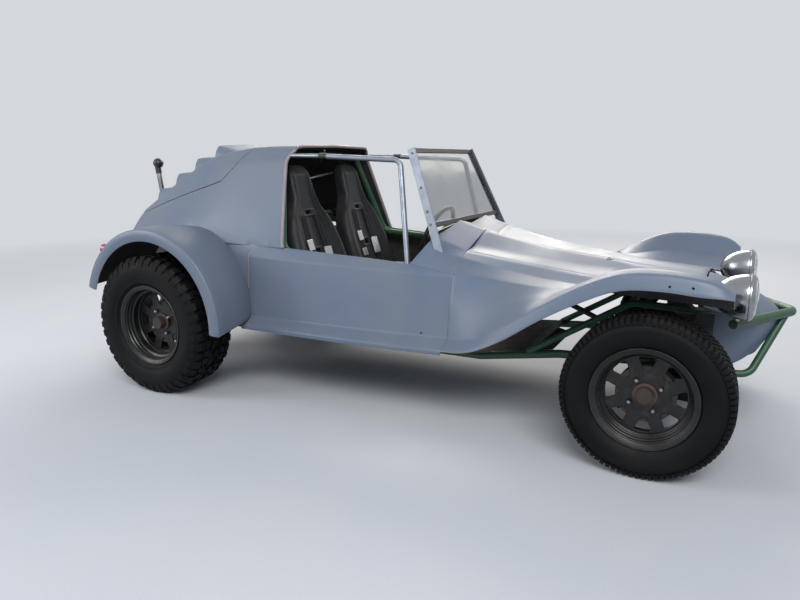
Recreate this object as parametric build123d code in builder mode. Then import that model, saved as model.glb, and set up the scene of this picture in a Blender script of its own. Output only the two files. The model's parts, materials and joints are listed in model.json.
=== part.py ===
from build123d import *
import math
import os

os.makedirs("parts", exist_ok=True)

# The vehicle stands on Z = 0 and faces +X, with +Y to its left. All sizes are in millimetres.

# Overall layout
WHEELBASE = 2400.0
FRONT_OVERHANG = 505.0
REAR_OVERHANG = 650.0
FRONT_AXLE_X = (WHEELBASE + REAR_OVERHANG - FRONT_OVERHANG) / 2
REAR_AXLE_X = FRONT_AXLE_X - WHEELBASE

# Clearances
SEAT_GAP = 0.3
RUNNING_GAP = 6.0
PANEL_GAP = 6.0

# Panels
SKIN = 6.0
EDGE_RADIUS = 40.0

# Front wheels
FRONT_TYRE_RADIUS = 315.0
FRONT_TYRE_WIDTH = 200.0
FRONT_LIP_RADIUS = 198.0
FRONT_RIM_WIDTH = 165.0
FRONT_LIP_Y = 735.0
FRONT_DISC_DEPTH = 67.0

# Rear wheels
REAR_TYRE_RADIUS = 362.0
REAR_TYRE_WIDTH = 270.0
REAR_LIP_RADIUS = 209.0
REAR_RIM_WIDTH = 220.0
REAR_LIP_Y = 890.0
REAR_DISC_DEPTH = 95.0
TREAD_DROP = 16.0

# Rim details
FLANGE_HEIGHT = 17.5
WELL_DEPTH = 22.0
RIM_WALL = 4.0
DISC_PLATE = 6.0
SPOKES = 8
SPOKE_WIDTH = 44.0
HUB_PLATE_RADIUS = 92.0
BORE_RADIUS = 33.0

# Front axle
KINGPIN_Y = 560.0
KINGPIN_RADIUS = 11.0
BEAM_RADIUS = 24.0
BEAM_AHEAD = 150.0
BEAM_LOW_Z = 245.0
BEAM_HIGH_Z = 395.0
ARM_Y = 418.0
ARM_PLATE = 22.0
BEAM_HALF = ARM_Y + ARM_PLATE / 2
DRUM_RADIUS = 112.0
DRUM_WIDTH = 52.0
HUB_RADIUS = 31.0
DRUM_WALL = 8.0
DRUM_FACE = 12.0
SPINDLE_RADIUS = 15.0
SPINDLE_FIT = 0.05

# Tubes of the frame
RAIL_RADIUS = 19.0
RAIL_Y = 360.0
RAIL_Z = 320.0
BOX_X = -112.0
TUBE_BEND = 60.0


def behind_front(x):
    """The X of a place measured from the front axle."""
    return FRONT_AXLE_X + x


def behind_rear(x):
    """The X of a place measured from the rear axle."""
    return REAR_AXLE_X + x


def station(x):
    """A plane across the vehicle: its x is the vehicle's Y, its y is Z."""
    return Plane(origin=(x, 0, 0), x_dir=(0, 1, 0), z_dir=(1, 0, 0))


def profile_plane(y):
    """A plane along the vehicle: its x is the vehicle's X, its y is Z, and it faces the right."""
    return Plane(origin=(0, y, 0), x_dir=(1, 0, 0), z_dir=(0, -1, 0))


def wheel_plane(x, y, z):
    """A plane through a wheel's axle: its x is up the radius, its y points outboard."""
    return Plane(origin=(x, y, z), x_dir=(0, 0, 1), z_dir=(1 if y < 0 else -1, 0, 0))


def save(piece, label):
    """Writes one finished piece."""
    piece.label = label
    export_step(piece, f"parts/{label}.step")
    print(label, len(piece.solids()), round(piece.volume / 1000), "cm3")


def tube(points, radius, bend=0.0):
    """A round bar along straight runs with bends of one radius."""
    with BuildPart() as run:
        with BuildLine() as path:
            if bend:
                FilletPolyline(*points, radius=bend)
            else:
                Polyline(*points)
        with BuildSketch(Plane(origin=path.line @ 0, z_dir=path.line % 0)):
            Circle(radius)
        sweep(transition=Transition.ROUND)
    return run.part


def skin_section(plane, points, radius, wall=SKIN):
    """A thin closed profile: a line through the points with rounded corners, and its offset."""
    with BuildSketch(plane) as section:
        with BuildLine():
            FilletPolyline(*points, radius=radius)
            offset(amount=wall, side=Side.LEFT)
        make_face()
    return section.sketch


def mirrored(shape):
    """The same shape on the other side of the vehicle."""
    return mirror(shape, about=Plane.XZ)


def fused(shapes):
    """One piece of several."""
    with BuildPart() as whole:
        for shape in shapes:
            add(shape)
    return whole.part


def less(shape, tools):
    """The biggest solid left of a shape after the tools are cut away."""
    with BuildPart() as rest:
        add(shape)
        for tool in tools:
            add(tool, mode=Mode.SUBTRACT)
    return rest.part.solids().sort_by(SortBy.VOLUME)[-1]


# Wheels

def rim(x, lip_y, z, lip, width, depth):
    """A spoked steel wheel, its outer lip at lip_y."""
    side = -1 if lip_y < 0 else 1
    plane = wheel_plane(x, lip_y, z)
    bead = lip - FLANGE_HEIGHT
    well = bead - WELL_DEPTH
    with BuildPart() as wheel:
        with BuildSketch(plane):
            with BuildLine():
                Polyline(
                    (lip, -1), (lip, -6), (bead, -9), (bead, -38), (well, -52),
                    (well, 52 - width), (bead, 38 - width), (bead, 9 - width),
                    (lip, 6 - width), (lip, 1 - width),
                )
                offset(amount=RIM_WALL, side=Side.RIGHT)
            make_face()
        revolve(axis=axis_of(x, z))
        face = Plane(origin=(x, lip_y - side * depth, z), x_dir=(1, 0, 0), z_dir=(0, side, 0))
        with BuildSketch(face):
            Circle(well - RIM_WALL / 2)
            Circle(BORE_RADIUS, mode=Mode.SUBTRACT)
            with PolarLocations(0, SPOKES):
                with BuildLine():
                    half = math.pi / SPOKES
                    inner = HUB_PLATE_RADIUS
                    outer = well - 8
                    rise_in = inner * math.sin(half) - SPOKE_WIDTH / 2 / math.cos(half)
                    rise_out = outer * math.sin(half) - SPOKE_WIDTH / 2 / math.cos(half)
                    Polyline(
                        (inner * math.cos(half), -rise_in), (outer * math.cos(half), -rise_out),
                        (outer * math.cos(half), rise_out), (inner * math.cos(half), rise_in),
                        close=True,
                    )
                make_face(mode=Mode.SUBTRACT)
        extrude(amount=-DISC_PLATE)
    return wheel.part


def axis_of(x, z):
    """The axis of a wheel."""
    return Axis((x, 0, z), (0, 1, 0))


def tyre(x, lip_y, z, lip, rim_width, radius, width):
    """A tyre on its rim: beads, a wall in two slopes each side, and a flat tread."""
    plane = wheel_plane(x, lip_y, z)
    bead = lip - FLANGE_HEIGHT + SEAT_GAP
    over = (width - rim_width) / 2
    middle = (lip + radius) / 2
    outer = (
        (bead, -10), (lip - 3, -9.5), (lip + 3, -6), (middle, over),
        (radius - TREAD_DROP, over - 10), (radius, over - 26),
    )
    inner = [(reach, -rim_width - across) for reach, across in reversed(outer)]
    with BuildPart() as ring:
        with BuildSketch(plane):
            with BuildLine():
                Polyline(*outer, *inner, close=True)
            make_face()
        revolve(axis=axis_of(x, z))
    return ring.part


def brake_drum(x, lip_y, z, depth):
    """The drum behind a wheel's disc and the hub that shows in its bore."""
    side = -1 if lip_y < 0 else 1
    back = lip_y - side * (depth + DISC_PLATE + SEAT_GAP)
    face = Plane(origin=(x, back, z), x_dir=(1, 0, 0), z_dir=(0, side, 0))
    with BuildPart() as drum:
        with BuildSketch(face):
            Circle(DRUM_RADIUS)
        extrude(amount=-DRUM_WIDTH)
        with BuildSketch(face):
            Circle(HUB_RADIUS)
        extrude(amount=depth * 0.5)
        with BuildSketch(face.offset(-DRUM_WIDTH)):
            Circle(DRUM_RADIUS - DRUM_WALL)
            Circle(HUB_RADIUS, mode=Mode.SUBTRACT)
        extrude(amount=DRUM_WIDTH - DRUM_FACE, mode=Mode.SUBTRACT)
        with BuildSketch(face.offset(-DRUM_WIDTH)):
            Circle(SPINDLE_RADIUS + SPINDLE_FIT)
        extrude(amount=DRUM_WIDTH - DRUM_FACE, mode=Mode.SUBTRACT)
    return drum.part


for side, name in ((-1, "right"), (1, "left")):
    front = (behind_front(0), side * FRONT_LIP_Y, FRONT_TYRE_RADIUS)
    rear = (behind_rear(0), side * REAR_LIP_Y, REAR_TYRE_RADIUS)
    save(rim(*front, FRONT_LIP_RADIUS, FRONT_RIM_WIDTH, FRONT_DISC_DEPTH), f"front_rim_{name}")
    save(rim(*rear, REAR_LIP_RADIUS, REAR_RIM_WIDTH, REAR_DISC_DEPTH), f"rear_rim_{name}")
    save(
        tyre(*front, FRONT_LIP_RADIUS, FRONT_RIM_WIDTH, FRONT_TYRE_RADIUS, FRONT_TYRE_WIDTH),
        f"front_tyre_{name}",
    )
    save(
        tyre(*rear, REAR_LIP_RADIUS, REAR_RIM_WIDTH, REAR_TYRE_RADIUS, REAR_TYRE_WIDTH),
        f"rear_tyre_{name}",
    )
    save(brake_drum(*front, FRONT_DISC_DEPTH), f"front_drum_{name}")
    save(brake_drum(*rear, REAR_DISC_DEPTH), f"rear_drum_{name}")


# Outer body: each table's x is measured from the front axle, or from the rear axle where it says so

# columns: x, edge y, edge z, foot y, foot z, bulge y, bulge z, middle z
HOOD = (
    (-840, 400, 782, 325, 795, 165, 858, 818),
    (-560, 384, 743, 292, 750, 145, 792, 768),
    (-280, 368, 706, 240, 712, 122, 752, 734),
    (-110, 356, 684, 205, 692, 108, 722, 714),
    (150, 337, 664, 170, 674, 90, 692, 690),
)
# columns: x, hem y, hem z, wall y, wall z, edge y, edge z, bulge y, bulge z, middle z
COWL = (
    (-1120, 528, 729, 478, 800, 440, 872, 200, 938, 915),
    (-980, 545, 714, 476, 784, 422, 832, 185, 902, 872),
    (-840 - SEAT_GAP, 562, 698, 470, 760, 400, 782, 165, 858, 818),
)
# columns: x, edge y, edge z, dish y, dish z, shoulder y, shoulder z, crest y, crest z, rim y, rim z, lip y, lip z
FRONT_FENDER = (
    (-840, 400, 782, 470, 760, 562, 698, 598, 570, 624, 422, 700, 382),
    (-700, 392, 762, 468, 733, 562, 688, 626, 570, 690, 448, 735, 406),
    (-550, 384, 742, 467, 706, 562, 679, 648, 612, 736, 530, 757, 478),
    (-400, 376, 721, 466, 686, 560, 672, 660, 652, 744, 632, 762, 578),
    (-250, 366, 702, 464, 666, 562, 682, 668, 733, 746, 724, 764, 662),
    (-110, 356, 684, 462, 650, 574, 706, 676, 796, 746, 778, 765, 722),
    (30, 347, 674, 460, 642, 578, 708, 680, 807, 746, 789, 765, 733),
    (160, 336, 664, 458, 636, 576, 694, 676, 793, 744, 780, 763, 724),
    (225, 331, 658, 456, 632, 570, 680, 668, 770, 736, 762, 756, 722),
    (270, 327, 654, 454, 630, 562, 662, 652, 730, 722, 730, 740, 718),
)
# columns: x, top y, top z, shoulder y, shoulder z, sill y, sill z, lip y, lip z
BODY_SIDE_FRONT = (
    (-840 - SEAT_GAP, 556, 701, 566, 690, 624, 422, 700, 382),
    (-1120, 530, 728, 572, 694, 628, 414, 706, 379),
)
# the same columns, x from the rear axle
BODY_SIDE_REAR = (
    (900, 538, 748, 584, 700, 632, 410, 706, 376),
    (450, 590, 776, 610, 712, 636, 408, 700, 376),
)
# x from the rear axle; columns: x, base y, base z, eave y, eave z, roof y, roof z
CABIN = (
    (800, 560, 768, 412, 1200, 345, 1268),
    (300, 600, 784, 405, 1190, 335, 1268),
    (-50, 588, 800, 372, 1110, 305, 1212),
    (-320, 540, 780, 350, 1010, 285, 1092),
    (-REAR_OVERHANG, 445, 715, 328, 850, 262, 915),
)
SEAM = ((300, 1262), (250, 1220), (188, 1148), (126, 1086), (-617, 888), (-800, 839))
HINGE_AHEAD = 45.0
HINGE_Z = 1284.0
HINGE_Y = 194.0


# Headlamps
LAMP_Y = 379.0
LAMP_Z = 666.0
LAMP_RADIUS = 90.0
LAMP_RING_X = 315.0
LAMP_LENGTH = 128.0
LENS_BULGE = 14.0
LAMP_POST_X = 279.0
LAMP_CLEARANCE = 8.0


def right_skin(plane, pairs):
    """A section of the right side's skin, from its top edge down to its lip."""
    points = [(-y, z) for y, z in zip(pairs[::2], pairs[1::2])]
    return skin_section(plane, points, EDGE_RADIUS / 2)


def lofted(sections):
    """A smooth solid through its sections."""
    with BuildPart() as form:
        loft(sections=sections)
    return form.part


def across(x, half, radius):
    """A section of the skin over the whole width, from one side's edge to the other's."""
    pairs = list(zip(half[::2], half[1::2]))
    points = pairs + [(0, half[-1])] + [(-y, z) for y, z in reversed(pairs)]
    return skin_section(station(behind_front(x)), points, radius)


def hood_skin():
    return lofted([across(row[0], row[1:], EDGE_RADIUS / 2) for row in HOOD])


def cowl_skin():
    cut = (
        (behind_front(-1104), 680), (behind_front(-975), 874), (behind_front(-940), 960),
        (behind_front(-1200), 960), (behind_front(-1200), 680),
    )
    skin = lofted([across(row[0], row[1:], EDGE_RADIUS / 2) for row in COWL])
    return less(skin, [slab(cut, 600)])


def slab(points, half):
    """A flat shape in side view, as wide as twice half, across the vehicle's middle."""
    with BuildPart() as block:
        with BuildSketch(profile_plane(0)):
            with BuildLine():
                Polyline(*points, close=True)
            make_face()
        extrude(amount=half, both=True)
    return block.part


def lamp_notch():
    """The room round the right headlamp."""
    back = behind_front(LAMP_RING_X - LAMP_LENGTH - LAMP_CLEARANCE)
    with BuildPart() as room:
        with BuildSketch(station(back)):
            with Locations((-LAMP_Y, LAMP_Z)):
                Circle(LAMP_RADIUS + LAMP_CLEARANCE)
        extrude(amount=LAMP_LENGTH + 100)
    return room.part


def front_fender():
    return lofted([right_skin(station(behind_front(row[0])), row[1:]) for row in FRONT_FENDER])


def body_side():
    sections = [right_skin(station(behind_front(row[0])), row[1:]) for row in BODY_SIDE_FRONT]
    sections += [right_skin(station(behind_rear(row[0])), row[1:]) for row in BODY_SIDE_REAR]
    return lofted(sections)


def rear_shell():
    """The roof, the quarters and the sloping tail as one skin."""
    sections = []
    for x, base_y, base_z, eave_y, eave_z, roof_y, roof_z in CABIN:
        points = [
            (base_y, base_z), (eave_y, eave_z), (roof_y, roof_z),
            (-roof_y, roof_z), (-eave_y, eave_z), (-base_y, base_z),
        ]
        sections.append(skin_section(station(behind_rear(x)), points, EDGE_RADIUS))
    return lofted(sections)


def seam_points(lower):
    """The lid's outline in side view, lowered square to the ground by a gap."""
    line = [(behind_rear(x), z - lower) for x, z in SEAM]
    top = HINGE_Z + 200
    return [(line[0][0] + lower, top), (line[0][0] + lower, line[0][1])] + line[1:] + [(line[-1][0], top)]


shell = rear_shell()
OPENING = [
    (behind_rear(660), 700), (behind_rear(636), 764), (behind_rear(560), 1200),
    (behind_rear(820), 1214), (behind_rear(820), 700),
]
cabin = less(shell, [slab(seam_points(PANEL_GAP), 600), slab(OPENING, 600)])

LOUVRES = 4
LOUVRE_PITCH = 175.0
LOUVRE_REST = 12.0
LOUVRE_HALF = 230.0
LOUVRE_RISE = 58.0
LOUVRE_FIRST = 135.0


def lid_height(x):
    """The height of the tail's flat top at a place measured from the rear axle."""
    rows = [(row[0], row[6]) for row in CABIN]
    for (x1, z1), (x2, z2) in zip(rows, rows[1:]):
        if x2 <= x <= x1:
            return z1 + (z2 - z1) * (x1 - x) / (x1 - x2)
    return rows[-1][1]


with BuildPart() as skin_of_lid:
    add(shell)
    add(slab(seam_points(0), 600), mode=Mode.INTERSECT)
with BuildPart() as lid:
    add(skin_of_lid.part.solids().sort_by(SortBy.VOLUME)[-1])
    for number in range(LOUVRES):
        tip = LOUVRE_FIRST - LOUVRE_PITCH * (number + 1)
        root = tip + LOUVRE_PITCH - LOUVRE_REST
        low = lid_height(tip)
        with BuildSketch(profile_plane(0)):
            with BuildLine():
                Polyline(
                    (behind_rear(root), lid_height(root) - 3),
                    (behind_rear(tip), low + LOUVRE_RISE),
                    (behind_rear(tip), low - 3),
                    close=True,
                )
            make_face()
        extrude(amount=LOUVRE_HALF, both=True)


def hinge_leaf(y, width, foot, foot_z, bore):
    """A barrel round the hinge pin with a strap to its foot, on one side of the seam."""
    pin_x = behind_rear(SEAM[0][0] + HINGE_AHEAD)
    with BuildPart() as leaf:
        with BuildSketch(profile_plane(y)):
            with Locations((pin_x, HINGE_Z)):
                Circle(HINGE_BARREL)
            with BuildLine():
                Polyline(
                    (pin_x, HINGE_Z + HINGE_BARREL), (foot, HINGE_Z + HINGE_BARREL - 9),
                    (foot, foot_z), (pin_x, HINGE_Z - HINGE_BARREL + 1),
                    close=True,
                )
            make_face()
            if bore:
                with Locations((pin_x, HINGE_Z)):
                    Circle(bore, mode=Mode.SUBTRACT)
        extrude(amount=width / 2, both=True)
    return leaf.part


HINGE_PIN = 4.0
HINGE_FIT = 0.05
HINGE_BARREL = 8.0
HINGE_WIDTH = 36.0
EAR_WIDTH = 7.0
lid_pieces = [lid.part]
cabin_pieces = [cabin]
for y in (-HINGE_Y, HINGE_Y):
    foot = SEAM[0][0] - 40
    lid_pieces.append(
        hinge_leaf(y, HINGE_WIDTH, behind_rear(foot), lid_height(foot) - 3, HINGE_PIN + HINGE_FIT)
    )
    for edge in (-1, 1):
        ear_y = y + edge * (HINGE_WIDTH / 2 + 1 + EAR_WIDTH / 2)
        foot = behind_rear(SEAM[0][0] + HINGE_AHEAD + 26)
        cabin_pieces.append(hinge_leaf(ear_y, EAR_WIDTH, foot, CABIN[0][6] - 3, 0))
    pin_line = [
        (behind_rear(SEAM[0][0] + HINGE_AHEAD), y - HINGE_WIDTH / 2 - 1, HINGE_Z),
        (behind_rear(SEAM[0][0] + HINGE_AHEAD), y + HINGE_WIDTH / 2 + 1, HINGE_Z),
    ]
    cabin_pieces.append(tube(pin_line, HINGE_PIN))
cabin = fused(cabin_pieces)
save(cabin, "cabin_shell")
save(fused(lid_pieces), "engine_lid")

hood = hood_skin()
save(hood, "hood")
cowl = cowl_skin()
save(cowl, "cowl")
fender = less(front_fender(), [hood, lamp_notch()])
side_skin = less(body_side(), [cabin, cowl, fender])
save(fender, "front_fender_right")
save(mirrored(fender), "front_fender_left")
save(side_skin, "body_side_right")
save(mirrored(side_skin), "body_side_left")

# Rear fenders: each row is one arch band; columns: y, centre x from the rear axle, centre z, radius
REAR_FENDER = (
    (550, 36, 440, 406),
    (740, 48, 424, 446),
    (920, 50, 402, 462),
)
ARCH_START = -4.0
ARCH_END = 162.0
ARCH_FLANGE = 58.0


def arch(plane, centre_x, centre_z, outer, inner):
    """A band round the wheel, from its front foot over the top to its rear foot."""
    turn = [math.radians(a) for a in (ARCH_START, (ARCH_START + ARCH_END) / 2, ARCH_END)]
    rims = [
        [(centre_x + r * math.cos(a), centre_z + r * math.sin(a)) for a in turn]
        for r in (outer, inner)
    ]
    with BuildSketch(plane) as band:
        with BuildLine():
            ThreePointArc(*rims[0])
            Line(rims[0][2], rims[1][2])
            ThreePointArc(*rims[1])
            Line(rims[1][0], rims[0][0])
        make_face()
    return band.sketch


def rear_fender():
    bands = []
    for y, x, z, radius in REAR_FENDER:
        bands.append(arch(profile_plane(-y), behind_rear(x), z, radius, radius - SKIN))
    y, x, z, radius = REAR_FENDER[-1]
    flange = arch(profile_plane(SKIN - y), behind_rear(x), z, radius - 2, radius - ARCH_FLANGE)
    with BuildPart() as form:
        loft(sections=bands)
        extrude(flange, amount=SKIN)
    return form.part


rear_arch = less(rear_fender(), [cabin, side_skin])
save(rear_arch, "rear_fender_right")
save(mirrored(rear_arch), "rear_fender_left")


# Tail, wells and floor
FLOOR_Z = 300.0
FLOOR_PLATE = 4.0
FLOOR_HALF = 430.0
WELL_Y = 470.0
TAIL_X = -630.0

with BuildPart() as tail:
    with BuildSketch(station(behind_rear(TAIL_X))):
        with BuildLine():
            Polyline(
                (-430, 560), (-445, 700), (-345, 872), (345, 872), (445, 700), (430, 560),
                close=True,
            )
        make_face()
    extrude(amount=SKIN)
save(less(tail.part, [cabin]), "tail_panel")

def wheel_well(side):
    """The upright panel inboard of a rear wheel."""
    outline = (
        (behind_rear(440), 330), (behind_rear(440), 740), (behind_rear(-560), 700),
        (behind_rear(-600), 560), (behind_rear(-300), 420), (behind_rear(300), 330),
    )
    with BuildPart() as well:
        with BuildSketch(profile_plane(side * WELL_Y)):
            with BuildLine():
                Polyline(*outline, close=True)
            make_face()
        extrude(amount=SKIN / 2, both=True)
    return well.part


with BuildPart() as floor:
    with BuildSketch(Plane.XY.offset(FLOOR_Z)):
        with BuildLine():
            Polyline(
                (behind_front(-480), -180), (behind_front(-820), -FLOOR_HALF),
                (behind_rear(460), -FLOOR_HALF), (behind_rear(460), FLOOR_HALF),
                (behind_front(-820), FLOOR_HALF), (behind_front(-480), 180),
                close=True,
            )
        make_face()
    extrude(amount=FLOOR_PLATE)

# Seats
SEAT_Y = 255.0
SEAT_HALF = 215.0
BOLSTER = 50.0
SEAT_BASE_Z = FLOOR_Z + FLOOR_PLATE + SEAT_GAP


def seat(side):
    """A bucket seat: cushion and back in one, between two bolsters."""
    back = (
        (behind_rear(470), 1178), (behind_rear(545), 1172), (behind_rear(640), 880),
        (behind_rear(735), 470), (behind_rear(1150), 500), (behind_rear(1190), 470),
        (behind_rear(1180), SEAT_BASE_Z), (behind_rear(690), SEAT_BASE_Z),
        (behind_rear(600), 560), (behind_rear(500), 980),
    )
    bolster = (
        (behind_rear(500), 980), (behind_rear(560), 985), (behind_rear(690), 905),
        (behind_rear(800), 715), (behind_rear(860), 560), (behind_rear(1130), 560),
        (behind_rear(1180), SEAT_BASE_Z), (behind_rear(690), SEAT_BASE_Z),
        (behind_rear(600), 560),
    )
    with BuildPart() as bucket:
        with BuildSketch(profile_plane(side * SEAT_Y)):
            with BuildLine():
                Polyline(*back, close=True)
            make_face()
        extrude(amount=SEAT_HALF - BOLSTER, both=True)
        for edge in (-1, 1):
            with BuildSketch(profile_plane(side * SEAT_Y + edge * (SEAT_HALF - BOLSTER / 2))):
                with BuildLine():
                    Polyline(*bolster, close=True)
                make_face()
            extrude(amount=BOLSTER / 2, both=True)
    return bucket.part


save(seat(-1), "seat_right")
save(seat(1), "seat_left")

# Windscreen: its glass plane leans back from the cowl
SCREEN_FOOT = (-994.0, 884.0)
SCREEN_TOP = (-1144.0, 1243.0)
SCREEN_HALF_FOOT = 441.0
SCREEN_HALF_TOP = 362.0
FRAME_WIDTH = 22.0
FRAME_DEPTH = 18.0
GLASS = 5.0
PILLAR_WIDTH = 40.0
PILLAR_PLATE = 8.0

lean = Vector(SCREEN_TOP[0] - SCREEN_FOOT[0], 0, SCREEN_TOP[1] - SCREEN_FOOT[1])
screen_plane = Plane(
    origin=(behind_front(SCREEN_FOOT[0]), 0, SCREEN_FOOT[1]),
    x_dir=(0, 1, 0),
    z_dir=Vector(0, 1, 0).cross(lean.normalized()),
)
SCREEN_HEIGHT = lean.length


def screen_outline(inset):
    """The windscreen's corners in its own plane, moved in by an inset."""
    top = SCREEN_HALF_TOP - inset
    foot = SCREEN_HALF_FOOT - inset
    return [(-foot, inset), (-top, SCREEN_HEIGHT - inset), (top, SCREEN_HEIGHT - inset), (foot, inset)]


with BuildPart() as frame:
    with BuildSketch(screen_plane):
        with BuildLine():
            Polyline(*screen_outline(0), close=True)
        make_face()
        with BuildLine():
            Polyline(*screen_outline(FRAME_WIDTH), close=True)
        make_face(mode=Mode.SUBTRACT)
    extrude(amount=FRAME_DEPTH / 2, both=True)
save(frame.part, "windscreen_frame")

with BuildPart() as glass:
    with BuildSketch(screen_plane):
        with BuildLine():
            Polyline(*screen_outline(FRAME_WIDTH + SEAT_GAP), close=True)
        make_face()
    extrude(amount=GLASS / 2, both=True)
save(glass.part, "windscreen_glass")

pillars = []
for side in (-1, 1):
    out = (SCREEN_HALF_FOOT - SCREEN_HALF_TOP) / SCREEN_HEIGHT
    top = (side * (SCREEN_HALF_TOP + SEAT_GAP), SCREEN_HEIGHT)
    foot_drop = 200.0
    foot = (side * (SCREEN_HALF_FOOT + SEAT_GAP + out * foot_drop), -foot_drop)
    with BuildPart() as strap:
        with BuildSketch(screen_plane):
            with BuildLine():
                Polyline(
                    top, (top[0] + side * PILLAR_PLATE, top[1]),
                    (foot[0] + side * PILLAR_PLATE, foot[1]), foot,
                    close=True,
                )
            make_face()
        extrude(amount=PILLAR_WIDTH / 2, both=True)
    pillars.append(strap.part)
save(less(pillars[0], [cowl, side_skin, hood]), "pillar_right")
save(less(pillars[1], [cowl, mirrored(side_skin), hood]), "pillar_left")

# Side bars from the roof to the sill
BAR_RADIUS = 13.0
for side, name in ((-1, "right"), (1, "left")):
    bar = tube(
        [
            (behind_rear(770), side * 396, 1212), (behind_front(-1186), side * 395, 1190),
            (behind_front(-1100), side * 492, 706),
        ],
        BAR_RADIUS, 40,
    )
    save(less(bar, [cabin, side_skin, mirrored(side_skin), cowl]), f"side_bar_{name}")

# Frame of tubes under the body
CAGE_RADIUS = 19.0
TORSION_X = 430.0
TORSION_RADIUS = 42.0
TORSION_HALF = 560.0
HOOP_X = TORSION_X

frame_tubes = []
for side in (-1, 1):
    frame_tubes.append(tube(
        [
            (behind_rear(300), side * RAIL_Y, RAIL_Z - 40), (behind_front(-780), side * RAIL_Y, RAIL_Z - 40),
            (behind_front(-420), side * 300, RAIL_Z), (behind_front(120), side * 215, RAIL_Z),
        ],
        RAIL_RADIUS, TUBE_BEND,
    ))
    frame_tubes.append(tube(
        [
            (behind_front(-560), side * 326, RAIL_Z), (behind_front(-120), side * 300, 588),
            (behind_front(190), side * 290, 575),
        ],
        RAIL_RADIUS * 0.8, TUBE_BEND,
    ))
frame_tubes.append(tube(
    [(behind_front(-560), -326, RAIL_Z), (behind_front(-560), 326, RAIL_Z)], RAIL_RADIUS * 0.8
))
frame_tubes.append(tube(
    [(behind_front(-120), -300, 588), (behind_front(-120), 300, 588)], RAIL_RADIUS * 0.8
))
frame_tubes.append(tube(
    [(behind_front(BOX_X), -250, RAIL_Z), (behind_front(BOX_X), 250, RAIL_Z)], RAIL_RADIUS * 0.8
))
chassis = fused(frame_tubes)
save(chassis, "chassis_frame")
pan = less(floor.part, [chassis])
save(pan, "floor_pan")

with BuildPart() as torsion:
    with BuildSketch(
        Plane(origin=(behind_rear(TORSION_X), -TORSION_HALF, REAR_TYRE_RADIUS), z_dir=(0, 1, 0))
    ):
        Circle(TORSION_RADIUS)
    extrude(amount=2 * TORSION_HALF)
torsion_tube = less(torsion.part, [pan, seat(-1), seat(1), mirrored(rear_arch), rear_arch])
save(torsion_tube, "torsion_tube")

cage = tube(
    [
        (behind_rear(HOOP_X), -395, REAR_TYRE_RADIUS), (behind_rear(HOOP_X), -455, 740),
        (behind_rear(HOOP_X - 30), -355, 1225), (behind_rear(HOOP_X - 30), 355, 1225),
        (behind_rear(HOOP_X), 455, 740), (behind_rear(HOOP_X), 395, REAR_TYRE_RADIUS),
    ],
    CAGE_RADIUS, TUBE_BEND,
)
HARNESS_Z = 880.0
HARNESS_RADIUS = 16.0
HARNESS_HALF = 400.0
HARNESS_LUG = (50.0, 40.0, 50.0)
harness_x = behind_rear(HOOP_X - 10)
harness = [tube(
    [(harness_x, -HARNESS_HALF - 5, HARNESS_Z), (harness_x, HARNESS_HALF + 5, HARNESS_Z)], HARNESS_RADIUS
)]
for side in (-1, 1):
    with BuildPart() as lug:
        with Locations((harness_x, side * (HARNESS_HALF + HARNESS_LUG[1] / 2), HARNESS_Z)):
            Box(*HARNESS_LUG)
    harness.append(lug.part)
hoop = less(fused([cage] + harness), [cabin, torsion_tube])
save(hoop, "roll_cage")

# Front beam: two cross tubes and a tower at each end
TOWER_Y = 375.0
TOWER_PLATE = 10.0
beam_parts = [
    tube(
        [(behind_front(BEAM_AHEAD), -BEAM_HALF, z), (behind_front(BEAM_AHEAD), BEAM_HALF, z)],
        BEAM_RADIUS,
    )
    for z in (BEAM_LOW_Z, BEAM_HIGH_Z)
]
for side in (-1, 1):
    with BuildPart() as tower:
        with BuildSketch(profile_plane(side * TOWER_Y)):
            with BuildLine():
                Polyline(
                    (behind_front(BEAM_AHEAD - 45), BEAM_LOW_Z - 30),
                    (behind_front(BEAM_AHEAD - 45), 470), (behind_front(BEAM_AHEAD - 10), 590),
                    (behind_front(BEAM_AHEAD + 55), 590), (behind_front(BEAM_AHEAD + 45), BEAM_LOW_Z - 30),
                    close=True,
                )
            make_face()
        extrude(amount=TOWER_PLATE / 2, both=True)
    beam_parts.append(tower.part)
beam = less(fused(beam_parts), [chassis])
save(beam, "front_beam")

# Front arms with their kingpin carriers, and the knuckles that turn on them
ARM_HEIGHT = 40.0
CARRIER_LOW = 236.0
CARRIER_HIGH = 396.0
CARRIER_RADIUS = 19.0
KINGPIN_FIT = 0.05
EAR = 16.0
EAR_GAP = 0.5
WEB_NEAR = 26.0
WEB_PLATE = 14.0


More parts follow.
